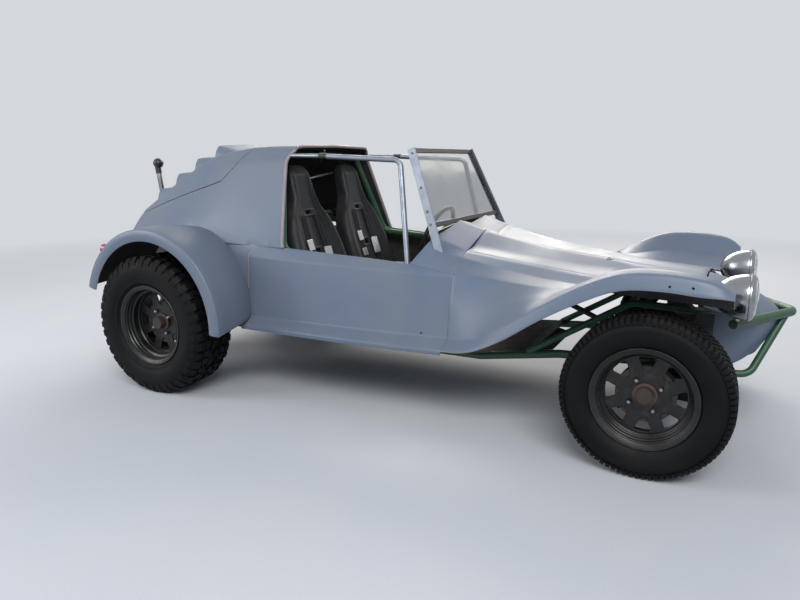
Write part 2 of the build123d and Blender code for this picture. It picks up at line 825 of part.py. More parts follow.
def front_arms(side):
    """Two arms that trail from the beam's ends to the carrier of the kingpin."""
    x = behind_front(0)
    with BuildPart() as arms:
        for z in (BEAM_LOW_Z, BEAM_HIGH_Z):
            drop = (FRONT_TYRE_RADIUS - z) * 0.12
            with BuildSketch(profile_plane(side * ARM_Y)):
                with BuildLine():
                    Polyline(
                        (behind_front(BEAM_AHEAD) + 26, z - ARM_HEIGHT / 2),
                        (behind_front(BEAM_AHEAD) + 26, z + ARM_HEIGHT / 2),
                        (x - 18, z + drop + ARM_HEIGHT / 2 - 6), (x - 18, z + drop - ARM_HEIGHT / 2 + 6),
                        close=True,
                    )
                make_face()
            extrude(amount=ARM_PLATE / 2, both=True)
            with BuildSketch(profile_plane(side * (ARM_Y + 10))):
                with Locations((x, z + drop)):
                    Circle(12)
            extrude(amount=-side * (480 - ARM_Y))
        with BuildSketch(Plane.XY.offset(CARRIER_LOW)):
            with Locations((x, side * (KINGPIN_Y + 470) / 2)):
                Rectangle(30, KINGPIN_Y - 470)
            with Locations((x, side * KINGPIN_Y)):
                Circle(CARRIER_RADIUS)
                Circle(KINGPIN_RADIUS + KINGPIN_FIT, mode=Mode.SUBTRACT)
        extrude(amount=CARRIER_HIGH - CARRIER_LOW)
    return less(arms.part, [beam])


def knuckle(side):
    """The fork that carries the spindle and turns on the kingpin."""
    x = behind_front(0)
    low = CARRIER_LOW - EAR_GAP - EAR
    high = CARRIER_HIGH + EAR_GAP
    web = KINGPIN_Y + WEB_NEAR
    end = FRONT_LIP_Y - FRONT_DISC_DEPTH - DISC_PLATE - DRUM_FACE - 1.0
    with BuildPart() as fork:
        for z in (low, high):
            with BuildSketch(Plane.XY.offset(z)):
                with Locations((x, side * KINGPIN_Y)):
                    Circle(CARRIER_RADIUS)
                with Locations((x, side * (KINGPIN_Y + (WEB_NEAR + WEB_PLATE) / 2))):
                    Rectangle(36, WEB_NEAR + WEB_PLATE)
            extrude(amount=EAR)
        with BuildSketch(Plane.XY.offset(low)):
            with Locations((x, side * (web + WEB_PLATE / 2))):
                Rectangle(44, WEB_PLATE)
        extrude(amount=high + EAR - low)
        with BuildSketch(Plane.XY.offset(low)):
            with Locations((x, side * KINGPIN_Y)):
                Circle(KINGPIN_RADIUS)
        extrude(amount=high + EAR - low)
        with BuildSketch(Plane(origin=(x, side * web, FRONT_TYRE_RADIUS), z_dir=(0, side, 0))):
            Circle(SPINDLE_RADIUS)
        extrude(amount=end - web)
        with BuildSketch(Plane.XY.offset(low)):
            with BuildLine():
                Polyline(
                    (x - 10, side * (KINGPIN_Y + 14)), (x - 10, side * (KINGPIN_Y - 14)),
                    (x - 112, side * (KINGPIN_Y - 30)), (x - 124, side * (KINGPIN_Y - 8)),
                    close=True,
                )
            make_face()
        extrude(amount=EAR)
    return fork.part


for side, name in ((-1, "right"), (1, "left")):
    save(front_arms(side), f"front_arms_{name}")
    save(knuckle(side), f"knuckle_{name}")

# Steering: box, tie rods, column and wheel
TIE_RADIUS = 9.0
TIE_Z = CARRIER_LOW - EAR_GAP - EAR - 6.0 - TIE_RADIUS
BOX_Y = 70.0
COLUMN_Y = 255.0
COLUMN_RADIUS = 14.0
WHEEL_CENTRE = (-1290.0, 770.0)
WHEEL_RADIUS = 165.0
WHEEL_GRIP = 13.0
COLUMN_FOOT = (-300.0, 345.0)

steering_parts = []
with BuildPart() as box:
    with BuildSketch(Plane.XY.offset(TIE_Z - 14)):
        with Locations((behind_front(BOX_X), 0)):
            Rectangle(70, 2 * BOX_Y + 30)
    extrude(amount=RAIL_Z - 0.8 * RAIL_RADIUS - SEAT_GAP - TIE_Z + 14)
steering_parts.append(box.part)
for side in (-1, 1):
    steering_parts.append(tube(
        [
            (behind_front(BOX_X), side * BOX_Y, TIE_Z),
            (behind_front(BOX_X - 2), side * (KINGPIN_Y - 20), TIE_Z),
        ],
        TIE_RADIUS,
    ))
save(fused(steering_parts), "steering_links")

column_dir = Vector(WHEEL_CENTRE[0] - COLUMN_FOOT[0], 0, WHEEL_CENTRE[1] - COLUMN_FOOT[1]).normalized()
hub_point = Vector(behind_front(WHEEL_CENTRE[0]), COLUMN_Y, WHEEL_CENTRE[1])
column_end = hub_point - column_dir * 22.3
column = tube(
    [(behind_front(COLUMN_FOOT[0]), COLUMN_Y, COLUMN_FOOT[1]), tuple(column_end)], COLUMN_RADIUS
)

with BuildPart() as dash:
    with BuildSketch(station(behind_front(-1010))):
        with BuildLine():
            Polyline(
                (-452, 722), (-430, 858), (0, 893), (430, 858), (452, 722), (300, 690), (-300, 690),
                close=True,
            )
        make_face()
        with BuildLine():
            Polyline(
                (COLUMN_Y - 30, 700), (COLUMN_Y - 30, 630), (COLUMN_Y + 30, 630), (COLUMN_Y + 30, 700),
                close=True,
            )
        make_face()
    extrude(amount=12)
save(less(dash.part, [cowl, column, frame.part]), "dash")
save(less(column, [chassis]), "steering_column")

wheel_face = Plane(origin=tuple(hub_point), x_dir=(0, 1, 0), z_dir=tuple(column_dir))
with BuildPart() as steering_wheel:
    with BuildSketch(Plane(origin=tuple(hub_point), x_dir=(0, 1, 0), z_dir=Vector(0, 1, 0).cross(column_dir))):
        with Locations((WHEEL_RADIUS, 0)):
            Circle(WHEEL_GRIP)
    revolve(axis=Axis(tuple(hub_point), tuple(column_dir)))
    with BuildSketch(wheel_face.offset(-22)):
        Circle(28)
    extrude(amount=30)
    with BuildSketch(wheel_face.offset(-4)):
        with PolarLocations(WHEEL_RADIUS / 2, 3, start_angle=90):
            Rectangle(WHEEL_RADIUS, 26)
    extrude(amount=5)
save(steering_wheel.part, "steering_wheel")

# Prow between the lamps; columns: x, keel y, keel z, rail y, rail z, deck z
PROW = (
    (156, 250, 335, 300, 600, 690),
    (300, 175, 350, 268, 562, 645),
    (400, 90, 440, 165, 547, 588),
    (447, 20, 515, 40, 536, 545),
)


def prow_skin():
    sections = []
    for x, keel_y, keel_z, rail_y, rail_z, deck_z in PROW:
        with BuildSketch(station(behind_front(x))) as section:
            with BuildLine():
                Line((keel_y, keel_z), (rail_y, rail_z))
                ThreePointArc((rail_y, rail_z), (0, deck_z), (-rail_y, rail_z))
                Line((-rail_y, rail_z), (-keel_y, keel_z))
                Line((-keel_y, keel_z), (keel_y, keel_z))
            make_face()
        sections.append(section.sketch)
    return lofted(sections)


# Bumper: a V of tube with an apex ahead, and two struts down to the rails
BUMPER_RADIUS = 19.0
BUMPER_Z = 552.0
BUMPER_BEND = 60.0
BUMPER_END = (270.0, 372.0)
BUMPER_HALF_TURN = math.atan2(FRONT_OVERHANG - 20 - BUMPER_END[0], BUMPER_END[1])
bumper_apex = FRONT_OVERHANG - BUMPER_RADIUS + BUMPER_BEND * (1 / math.cos(BUMPER_HALF_TURN) - 1)
bumper_tubes = [tube(
    [
        (behind_front(BUMPER_END[0]), -BUMPER_END[1], BUMPER_Z),
        (behind_front(bumper_apex), 0, BUMPER_Z),
        (behind_front(BUMPER_END[0]), BUMPER_END[1], BUMPER_Z),
    ],
    BUMPER_RADIUS, BUMPER_BEND,
)]
for side in (-1, 1):
    bumper_tubes.append(tube(
        [
            (behind_front(205), side * 215, 300), (behind_front(350), side * 170, 300),
            (behind_front(462), side * 45, BUMPER_Z - 8),
        ],
        RAIL_RADIUS * 0.8, TUBE_BEND,
    ))
bumper = less(fused(bumper_tubes), [chassis, beam])
save(bumper, "bumper")
save(less(prow_skin(), [bumper, hood, beam, chassis]), "prow")

# Headlamps
for side, name in ((-1, "right"), (1, "left")):
    x = behind_front(LAMP_RING_X)
    plane = Plane(origin=(x, side * LAMP_Y, LAMP_Z), x_dir=(1, 0, 0), z_dir=(0, -1, 0))
    lamp_axis = Axis((x, side * LAMP_Y, LAMP_Z), (1, 0, 0))
    with BuildPart() as lamp:
        with BuildSketch(plane):
            with BuildLine():
                Line((-LAMP_LENGTH, 0), (20, 0))
                Line((20, 0), (20, LAMP_RADIUS - 4))
                Line((20, LAMP_RADIUS - 4), (8, LAMP_RADIUS + 4))
                Line((8, LAMP_RADIUS + 4), (0, LAMP_RADIUS + 4))
                Line((0, LAMP_RADIUS + 4), (0, LAMP_RADIUS))
                EllipticalCenterArc((0, 0), LAMP_LENGTH, LAMP_RADIUS, start_angle=90, arc_size=90)
            make_face()
        revolve(axis=lamp_axis)
        with BuildSketch(Plane.XY.offset(BUMPER_Z + BUMPER_RADIUS + SEAT_GAP)):
            with Locations((behind_front(LAMP_POST_X), side * (BUMPER_END[1] - 12))):
                Circle(9)
        extrude(amount=LAMP_Z - LAMP_RADIUS * 0.8 - BUMPER_Z - BUMPER_RADIUS)
    save(lamp.part, f"headlamp_{name}")
    with BuildPart() as lens:
        with BuildSketch(plane):
            with BuildLine():
                rear = 20 + SEAT_GAP
                edge = LAMP_RADIUS - 8
                ball = (edge**2 + LENS_BULGE**2) / (2 * LENS_BULGE)
                half = math.asin(edge / ball) / 2
                middle = (rear + LENS_BULGE - ball + ball * math.cos(half), ball * math.sin(half))
                Line((rear, 0), (rear, edge))
                ThreePointArc((rear, edge), middle, (rear + LENS_BULGE, 0))
                Line((rear + LENS_BULGE, 0), (rear, 0))
            make_face()
        revolve(axis=lamp_axis)
    save(lens.part, f"headlamp_lens_{name}")

# Rear running gear
AXLE_TUBE_RADIUS = 36.0
SPRING_PLATE_Y = 596.0
rear_end = REAR_LIP_Y - REAR_DISC_DEPTH - DISC_PLATE - DRUM_FACE - 1.0
rear_drum_back = REAR_LIP_Y - REAR_DISC_DEPTH - DISC_PLATE - DRUM_WIDTH - 8.0

with BuildPart() as transaxle:
    with BuildSketch(station(behind_rear(-60))):
        with Locations((0, REAR_TYRE_RADIUS)):
            RectangleRounded(220, 260, 60)
    extrude(amount=300)
    with BuildSketch(station(behind_rear(240))):
        with Locations((0, REAR_TYRE_RADIUS)):
            Circle(70)
    extrude(amount=TORSION_X - 240 - TORSION_RADIUS - 6)
save(transaxle.part, "transaxle")

ENGINE_SIZE = (460.0, 620.0, 440.0)
with BuildPart() as engine:
    with BuildSketch(Plane.XY.offset(REAR_TYRE_RADIUS - 90)):
        with Locations((behind_rear(-60 - SEAT_GAP - ENGINE_SIZE[0] / 2), 0)):
            Rectangle(ENGINE_SIZE[0], ENGINE_SIZE[1])
    extrude(amount=ENGINE_SIZE[2])
save(engine.part, "engine")

for side, name in ((-1, "right"), (1, "left")):
    with BuildPart() as swing:
        with BuildSketch(
            Plane(origin=(behind_rear(0), side * (110 + SEAT_GAP), REAR_TYRE_RADIUS), z_dir=(0, side, 0))
        ):
            Circle(AXLE_TUBE_RADIUS)
        extrude(amount=rear_drum_back - 110)
        with BuildSketch(
            Plane(origin=(behind_rear(0), side * rear_drum_back, REAR_TYRE_RADIUS), z_dir=(0, side, 0))
        ):
            Circle(SPINDLE_RADIUS)
        extrude(amount=rear_end - rear_drum_back)
        with BuildSketch(profile_plane(side * SPRING_PLATE_Y)):
            with BuildLine():
                Polyline(
                    (behind_rear(TORSION_X + 30), REAR_TYRE_RADIUS + 26),
                    (behind_rear(-40), REAR_TYRE_RADIUS + 48),
                    (behind_rear(-40), REAR_TYRE_RADIUS - 48),
                    (behind_rear(TORSION_X + 30), REAR_TYRE_RADIUS - 26),
                    close=True,
                )
            make_face()
        extrude(amount=5, both=True)
    save(less(swing.part, [torsion_tube]), f"rear_axle_{name}")
    save(less(wheel_well(side), [torsion_tube, swing.part, hoop]), f"wheel_well_{name}")

# Tail lamps on the rear fenders
TAIL_LAMP_Y = 840.0
TAIL_LAMP_Z = 735.0
TAIL_LAMP_RADIUS = 28.0
TAIL_LAMP_FRONT = -240.0
TAIL_LAMP_LENGTH = 105.0
with BuildPart() as tail_lamps:
    for side in (-1, 1):
        with BuildSketch(station(behind_rear(TAIL_LAMP_FRONT))):
            with Locations((side * TAIL_LAMP_Y, TAIL_LAMP_Z)):
                Circle(TAIL_LAMP_RADIUS)
        extrude(amount=-TAIL_LAMP_LENGTH)
    add(rear_arch, mode=Mode.SUBTRACT)
    add(mirrored(rear_arch), mode=Mode.SUBTRACT)
lamp_pair = fused(tail_lamps.part.solids().sort_by(SortBy.VOLUME)[-2:])
save(lamp_pair, "tail_lamps")
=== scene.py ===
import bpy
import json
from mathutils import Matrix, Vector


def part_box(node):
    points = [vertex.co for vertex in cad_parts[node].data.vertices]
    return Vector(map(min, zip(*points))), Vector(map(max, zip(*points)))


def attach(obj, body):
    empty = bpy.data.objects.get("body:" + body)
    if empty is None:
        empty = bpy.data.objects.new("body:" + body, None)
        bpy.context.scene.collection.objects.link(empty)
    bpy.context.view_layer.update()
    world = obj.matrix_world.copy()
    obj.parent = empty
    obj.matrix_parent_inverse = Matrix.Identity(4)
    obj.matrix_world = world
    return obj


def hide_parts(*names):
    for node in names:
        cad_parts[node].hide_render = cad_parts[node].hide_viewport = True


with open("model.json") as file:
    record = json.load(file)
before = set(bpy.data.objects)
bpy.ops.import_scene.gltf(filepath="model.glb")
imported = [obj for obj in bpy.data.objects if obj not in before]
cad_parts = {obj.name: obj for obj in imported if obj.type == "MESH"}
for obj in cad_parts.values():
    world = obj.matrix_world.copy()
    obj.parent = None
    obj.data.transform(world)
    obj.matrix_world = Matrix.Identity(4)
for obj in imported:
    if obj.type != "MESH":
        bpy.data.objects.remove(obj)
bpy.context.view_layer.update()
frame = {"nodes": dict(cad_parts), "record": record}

import json
import math
from collections import namedtuple
import bpy
import bmesh
from mathutils import Matrix, Vector
from mathutils.bvhtree import BVHTree

scene = bpy.context.scene
NODES = frame["nodes"]
BODY_OF = {node: body for body, members in frame["record"]["behaviour"]["bodies"].items() for node in members}

# Places the pieces share, in metres
FRONT_AXLE_X = 1.2725
REAR_AXLE_X = -1.1275
SIDES = ((-1, "right"), (1, "left"))
LAMP_AHEAD, LAMP_Y, LAMP_Z = 0.315, 0.379, 0.666
NOTCH_RADIUS, NOTCH_LENGTH = 0.0885, 0.1265


def added(name, data):
    """A new object in the scene."""
    piece = bpy.data.objects.new(name, data)
    scene.collection.objects.link(piece)
    return piece


# Camera at the photograph's viewing angle
SENSOR = 36.0


def aimed_camera(place, yaw, pitch, roll, lens):
    forward = Vector((-math.sin(yaw) * math.cos(pitch), math.cos(yaw) * math.cos(pitch), math.sin(pitch)))
    level = Vector((math.cos(yaw), math.sin(yaw), 0.0))
    above = level.cross(forward)
    right = level * math.cos(roll) + above * math.sin(roll)
    up = above * math.cos(roll) - level * math.sin(roll)
    turn = Matrix((right, up, -forward)).transposed().to_4x4()
    data = bpy.data.cameras.new("camera")
    data.sensor_width = SENSOR
    data.lens = lens
    data.clip_end = 200.0
    camera = added("camera", data)
    camera.matrix_world = Matrix.Translation(place) @ turn
    return camera


# place in metres; yaw, pitch and roll in degrees; focal length and width in the photograph's pixels
CAMERA_PLACE = (1.5415, -3.1642, 1.1890)
CAMERA_TURNS = (27.8192, -12.1221, -0.3443)
FOCAL_PIXELS, PHOTO_WIDTH = 650.27, 800.0
scene.camera = aimed_camera(
    CAMERA_PLACE, *(math.radians(turn) for turn in CAMERA_TURNS), SENSOR * FOCAL_PIXELS / PHOTO_WIDTH,
)
scene.view_settings.view_transform = "Standard"


# Shader groups
class Wiring:
    """Adds nodes to a tree and joins their sockets."""

    def __init__(self, tree):
        self.tree = tree

    def add(self, kind, **values):
        node = self.tree.nodes.new(kind)
        for name, value in values.items():
            setattr(node, name, value)
        return node

    def put(self, socket, value):
        if isinstance(value, bpy.types.NodeSocket):
            self.tree.links.new(value, socket)
        elif isinstance(value, (tuple, list)) and len(value) == 3 and socket.type == "RGBA":
            socket.default_value = (*value, 1.0)
        else:
            socket.default_value = value

    def place(self):
        return self.add("ShaderNodeTexCoord").outputs["Object"]

    def math(self, operation, first, second=0.0, clamp=False):
        node = self.add("ShaderNodeMath", operation=operation, use_clamp=clamp)
        self.put(node.inputs[0], first)
        self.put(node.inputs[1], second)
        return node.outputs[0]

    def mix(self, factor, first, second, blend="MIX"):
        node = self.add("ShaderNodeMix", data_type="RGBA", blend_type=blend)
        self.put(node.inputs[0], factor)
        self.put(node.inputs[6], first)
        self.put(node.inputs[7], second)
        return node.outputs[2]

    def noise(self, place, scale, detail=4.0, rough=0.55, distortion=0.0):
        node = self.add("ShaderNodeTexNoise")
        self.put(node.inputs["Vector"], place)
        self.put(node.inputs["Scale"], scale)
        self.put(node.inputs["Detail"], detail)
        self.put(node.inputs["Roughness"], rough)
        self.put(node.inputs["Distortion"], distortion)
        return node.outputs["Fac"]

    def steps(self, value, low, high, to_low=0.0, to_high=1.0):
        node = self.add("ShaderNodeMapRange")
        for name, number in (
            ("Value", value), ("From Min", low), ("From Max", high), ("To Min", to_low), ("To Max", to_high),
        ):
            self.put(node.inputs[name], number)
        return node.outputs["Result"]


def effect(name, inputs, outputs, build):
    """A shader node group with named sockets."""
    tree = bpy.data.node_groups.new(name, "ShaderNodeTree")
    for label, kind, value in inputs:
        socket = tree.interface.new_socket(label, in_out="INPUT", socket_type=kind)
        if value is not None:
            socket.default_value = value
    for label, kind in outputs:
        tree.interface.new_socket(label, in_out="OUTPUT", socket_type=kind)
    wires = Wiring(tree)
    entry = wires.add("NodeGroupInput")
    exit_ = wires.add("NodeGroupOutput")
    build(wires, entry.outputs, exit_.inputs)
    return tree


def build_mottle(wires, given, made):
    """Two tones in soft clouds with a fine speckle over them."""
    place = wires.place()
    cloud = wires.noise(place, given["Cloud Scale"], 5.0, 0.6, 0.4)
    fine = wires.noise(place, given["Speckle Scale"], 2.0, 0.5)
    soft = wires.steps(cloud, 0.38, 0.64)
    toned = wires.mix(wires.math("MULTIPLY", soft, given["Cloud"]), given["Base"], given["Second"])
    spots = wires.steps(fine, 0.30, 0.70, -0.5, 0.5)
    shade = wires.math("ADD", wires.math("MULTIPLY", spots, given["Speckle"]), 1.0)
    grey = wires.add("ShaderNodeCombineColor")
    for index in range(3):
        wires.put(grey.inputs[index], shade)
    wires.put(made["Color"], wires.mix(1.0, toned, grey.outputs[0], "MULTIPLY"))
    wires.put(made["Clouds"], soft)


MOTTLE = effect(
    "mottle",
    [
        ("Base", "NodeSocketColor", (0.2, 0.2, 0.2, 1)), ("Second", "NodeSocketColor", (0.3, 0.3, 0.3, 1)),
        ("Cloud", "NodeSocketFloat", 0.6), ("Cloud Scale", "NodeSocketFloat", 3.0),
        ("Speckle", "NodeSocketFloat", 0.2), ("Speckle Scale", "NodeSocketFloat", 400.0),
    ],
    [("Color", "NodeSocketColor"), ("Clouds", "NodeSocketFloat")],
    build_mottle,
)


def build_wear(wires, given, made):
    """A ragged mask along the raised edges of a piece."""
    place = wires.place()
    point = wires.add("ShaderNodeNewGeometry").outputs["Pointiness"]
    ragged = wires.noise(place, given["Scale"], 6.0, 0.65)
    edge = wires.steps(point, 0.50, 0.56)
    bite = wires.math("ADD", edge, wires.steps(ragged, 0.35, 0.75, -0.7, 0.7))
    wires.put(made["Mask"], wires.math("MULTIPLY", wires.steps(bite, 0.45, 0.75), given["Amount"], True))


WEAR = effect(
    "edge_wear",
    [("Amount", "NodeSocketFloat", 0.5), ("Scale", "NodeSocketFloat", 30.0)],
    [("Mask", "NodeSocketFloat")],
    build_wear,
)


def build_dust(wires, given, made):
    """Dust that lies on what faces up and gathers low down."""
    place = wires.place()
    facing = wires.add("ShaderNodeSeparateXYZ")
    wires.put(facing.inputs[0], wires.add("ShaderNodeNewGeometry").outputs["Normal"])
    where = wires.add("ShaderNodeSeparateXYZ")
    wires.put(where.inputs[0], place)
    above = wires.steps(facing.outputs[2], 0.2, 1.0)
    low = wires.steps(where.outputs[2], given["Height"], 0.0)
    patch = wires.steps(wires.noise(place, 9.0, 6.0, 0.7), 0.35, 0.7)
    both = wires.math("MAXIMUM", above, wires.math("MULTIPLY", low, 0.8))
    amount = wires.math("MULTIPLY", wires.math("MULTIPLY", both, patch), given["Amount"], True)
    wires.put(made["Color"], wires.mix(amount, given["Color"], given["Dust"]))
    wires.put(made["Mask"], amount)


DUST = effect(
    "settled_dust",
    [
        ("Color", "NodeSocketColor", (0.2, 0.2, 0.2, 1)), ("Dust", "NodeSocketColor", (0.35, 0.31, 0.27, 1)),
        ("Amount", "NodeSocketFloat", 0.3), ("Height", "NodeSocketFloat", 0.5),
    ],
    [("Color", "NodeSocketColor"), ("Mask", "NodeSocketFloat")],
    build_dust,
)


def build_grain(wires, given, made):
    """A fine relief."""
    place = wires.place()
    coarse = wires.noise(place, given["Scale"], 6.0, 0.6)
    bump = wires.add("ShaderNodeBump")
    wires.put(bump.inputs["Strength"], given["Strength"])
    wires.put(bump.inputs["Distance"], given["Depth"])
    wires.put(bump.inputs["Height"], coarse)
    wires.put(made["Normal"], bump.outputs[0])


GRAIN = effect(
    "grain",
    [
        ("Scale", "NodeSocketFloat", 60.0), ("Strength", "NodeSocketFloat", 0.3),
        ("Depth", "NodeSocketFloat", 0.002),
    ],
    [("Normal", "NodeSocketVector")],
    build_grain,
)


def new_material(name):
    """A node material with its wiring and its shader."""
    material = bpy.data.materials.new(name)
    material.use_nodes = True
    return material, Wiring(material.node_tree), material.node_tree.nodes["Principled BSDF"]


def placed(wires, group, **values):
    node = wires.add("ShaderNodeGroup")
    node.node_tree = group
    for name, value in values.items():
        wires.put(node.inputs[name.replace("_", " ")], value)
    return node.outputs


def finish(name, base, second, cloud=0.6, cloud_scale=3.0, speckle=0.15, speckle_scale=500.0,
           rough=0.5, rough_swing=0.12, metal=0.0, wear=0.0, bare=(0.5, 0.5, 0.5), wear_scale=30.0,
           dust=0.0, dust_height=0.45, grain=60.0, relief=0.2, depth=0.001, coat=0.0, sheen=0.0,
           gloss=0.5):
    """A painted, plated, cast or moulded surface."""
    material, wires, shader = new_material(name)
    tone = placed(
        wires, MOTTLE, Base=base, Second=second, Cloud=cloud, Cloud_Scale=cloud_scale,
        Speckle=speckle, Speckle_Scale=speckle_scale,
    )
    colour = tone["Color"]
    shine = wires.math("ADD", wires.math("MULTIPLY", tone["Clouds"], rough_swing), rough)
    if wear:
        mask = placed(wires, WEAR, Amount=wear, Scale=wear_scale)["Mask"]
        colour = wires.mix(mask, colour, bare)
    if dust:
        laid = placed(wires, DUST, Color=colour, Amount=dust, Height=dust_height)
        colour = laid["Color"]
        shine = wires.math("ADD", shine, wires.math("MULTIPLY", laid["Mask"], 0.4), True)
    wires.put(shader.inputs["Base Color"], colour)
    wires.put(shader.inputs["Roughness"], shine)
    wires.put(
        shader.inputs["Normal"], placed(wires, GRAIN, Scale=grain, Strength=relief, Depth=depth)["Normal"]
    )
    shader.inputs["Metallic"].default_value = metal
    shader.inputs["Coat Weight"].default_value = coat
    shader.inputs["Sheen Weight"].default_value = sheen
    shader.inputs["Specular IOR Level"].default_value = gloss
    return material


PRIMER = finish(
    "grey_primer", (0.098, 0.134, 0.196), (0.130, 0.150, 0.186), cloud=0.7, cloud_scale=2.3, speckle=0.10,
    rough=0.36, rough_swing=0.16, wear=0.14, bare=(0.27, 0.26, 0.27), wear_scale=18.0,
    dust=0.10, grain=35.0, relief=0.10, depth=0.002,
)
PRIMER_EDGE = finish(
    "sanded_edge", (0.27, 0.22, 0.225), (0.20, 0.19, 0.21), cloud_scale=14.0, rough=0.45, relief=0.1,
)
# Near-black finish for the panels' undersides; it also colours the louvres' dark cards, which are painted
# shade
UNDERSIDE_AND_SHADE = finish(
    "dark_underside_and_shade", (0.016, 0.016, 0.018), (0.035, 0.033, 0.030), cloud_scale=9.0, rough=0.7,
    dust=0.25, dust_height=0.9, relief=0.4,
)
RUST = finish(
    "rusted_hub", (0.055, 0.038, 0.030), (0.095, 0.058, 0.042), cloud_scale=40.0, rough=0.75, metal=0.2,
    relief=0.6, depth=0.0015,
)
GREEN = finish(
    "green_frame_paint", (0.010, 0.058, 0.027), (0.020, 0.088, 0.044), cloud_scale=11.0, rough=0.38,
    wear=0.30, bare=(0.12, 0.05, 0.028), wear_scale=40.0, dust=0.18, relief=0.25, depth=0.0012,
)
RIM_BLACK = finish(
    "black_wheel_paint", (0.004, 0.0045, 0.005), (0.010, 0.010, 0.010), cloud_scale=12.0, rough=0.26,
    rough_swing=0.2, wear=0.25, bare=(0.05, 0.045, 0.04), dust=0.04, relief=0.12, gloss=0.4,
)
DRUM_IRON = finish(
    "rusted_drum", (0.030, 0.027, 0.025), (0.075, 0.045, 0.030), cloud_scale=22.0, rough=0.7,
    metal=0.3, relief=0.6, depth=0.0015,
)
RUBBER = finish(
    "tyre_rubber", (0.0022, 0.0026, 0.0032), (0.0050, 0.0054, 0.0062), cloud_scale=10.0, rough=0.56,
    speckle=0.3, dust=0.05, dust_height=0.12, grain=220.0, relief=0.25, depth=0.0008, gloss=0.15,
)
CHROME = finish(
    "dull_chrome", (0.36, 0.37, 0.39), (0.26, 0.27, 0.28), cloud_scale=16.0, rough=0.12, rough_swing=0.22,
    metal=1.0, wear=0.2, bare=(0.3, 0.28, 0.26), dust=0.08, grain=90.0, relief=0.03,
)
ALLOY = finish(
    "bare_alloy", (0.26, 0.29, 0.34), (0.20, 0.22, 0.26), cloud_scale=20.0, rough=0.34, rough_swing=0.15,
    metal=0.85, dust=0.05, grain=160.0, relief=0.08,
)
CAST = finish(
    "cast_alloy", (0.16, 0.15, 0.14), (0.09, 0.085, 0.08), cloud_scale=14.0, rough=0.6, metal=0.5,
    dust=0.3, dust_height=0.6, relief=0.6, depth=0.002,
)
ENGINE_BLACK = finish(
    "engine_enamel", (0.02, 0.02, 0.022), (0.05, 0.047, 0.045), cloud_scale=14.0, rough=0.45,
    dust=0.3, dust_height=0.8, relief=0.4,
)
BLACK_TRIM = finish(
    "black_trim", (0.012, 0.012, 0.013), (0.03, 0.03, 0.03), cloud_scale=14.0, rough=0.35, relief=0.15,
    dust=0.12, dust_height=0.6,
)
SEAT_VINYL = finish(
    "seat_vinyl", (0.009, 0.010, 0.012), (0.017, 0.017, 0.018), cloud_scale=6.0, rough=0.46,
    grain=420.0, relief=0.35, depth=0.0006, dust=0.12, dust_height=0.3, sheen=0.05, gloss=0.3,
)
WEBBING = finish(
    "belt_webbing", (0.010, 0.010, 0.012), (0.018, 0.018, 0.020), cloud_scale=20.0, rough=0.8, grain=900.0,
    relief=0.5, depth=0.0006, gloss=0.25,
)
BUCKLE = finish(
    "bright_buckle", (0.62, 0.63, 0.64), (0.50, 0.50, 0.51), cloud_scale=40.0, rough=0.25, metal=0.7,
    relief=0.05,
)
# Flat black that stands for the dark inside of slots and holes: painted shade
PAINTED_SHADE_BLACK = finish(
    "painted_shade_black", (0.002, 0.002, 0.002), (0.003, 0.003, 0.003), rough=0.9, gloss=0.05,
)
FLOOR_PAINT = finish(
    "floor_paint", (0.022, 0.023, 0.025), (0.06, 0.055, 0.05), cloud_scale=7.0, rough=0.62,
    dust=0.45, dust_height=0.4, relief=0.4,
)
STEEL_ARM = finish(
    "oily_steel", (0.045, 0.040, 0.036), (0.10, 0.065, 0.045), cloud_scale=20.0, rough=0.5, metal=0.6,
    dust=0.25, relief=0.5,
)


def glassy(name, tint_and_reflection, rough, haze, film_and_reflection_colour):
    """Clear material with a dusty film on it; for the window, the warm tint and warm film colour are partly
    dust and partly a painted warm reflection.
    """
    material, wires, shader = new_material(name)
    place = wires.place()
    film = wires.steps(wires.noise(place, 5.0, 6.0, 0.6), 0.35, 0.75, 0.0, haze)
    wires.put(shader.inputs["Base Color"], wires.mix(film, tint_and_reflection, film_and_reflection_colour))
    wires.put(shader.inputs["Roughness"], wires.math("ADD", wires.math("MULTIPLY", film, 0.3), rough))
    shader.inputs["Transmission Weight"].default_value = 1.0
    shader.inputs["IOR"].default_value = 1.45
    shader.inputs["Metallic"].default_value = 0.0
    return material


# The window's warm tint and warm film are partly dust and partly a painted reflection of warm surroundings
WINDOW = glassy("window_glass", (0.93, 0.92, 0.88), 0.02, 0.35, (0.80, 0.74, 0.60))
LENS = glassy("lamp_glass", (0.95, 0.97, 0.98), 0.03, 0.3, (0.8, 0.8, 0.78))
RED_LENS = finish(
    "red_lens", (0.30, 0.010, 0.012), (0.22, 0.008, 0.010), cloud_scale=30.0, rough=0.18, relief=0.1,
    coat=0.4,
)


# Pieces copied from the frame's nodes and finished with softened edges, their angles in degrees
EDGE = 0.0015
NODE_SHARP, SKIN_SHARP, TURNED_SHARP = 32.0, 50.0, 40.0


def mesh_of(form, name, smooth=False):
    """Puts a form into a new mesh."""
    mesh = bpy.data.meshes.new(name)
    form.to_mesh(mesh)
    form.free()
    return smoothed(mesh) if smooth else mesh


def smoothed(mesh):
    for face in mesh.polygons:
        face.use_smooth = True
    return mesh


def surface_of(mesh):
    """A mesh's faces, ready to be met by lines."""
    return BVHTree.FromPolygons([v.co for v in mesh.vertices], [f.vertices for f in mesh.polygons])


def bevelled(piece, width, angle):
    """Softens the edges that are sharper than an angle."""
    bevel = piece.modifiers.new("edge", "BEVEL")
    bevel.width = width
    bevel.segments = 2
    bevel.limit_method = "ANGLE"
    bevel.angle_limit = math.radians(angle)
    return bevel


def link(name, mesh, body, *materials):
    """A finished piece that rides on a body."""
    piece = added(name, mesh)
    for material in materials:
        mesh.materials.append(material)
    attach(piece, body)
    return piece


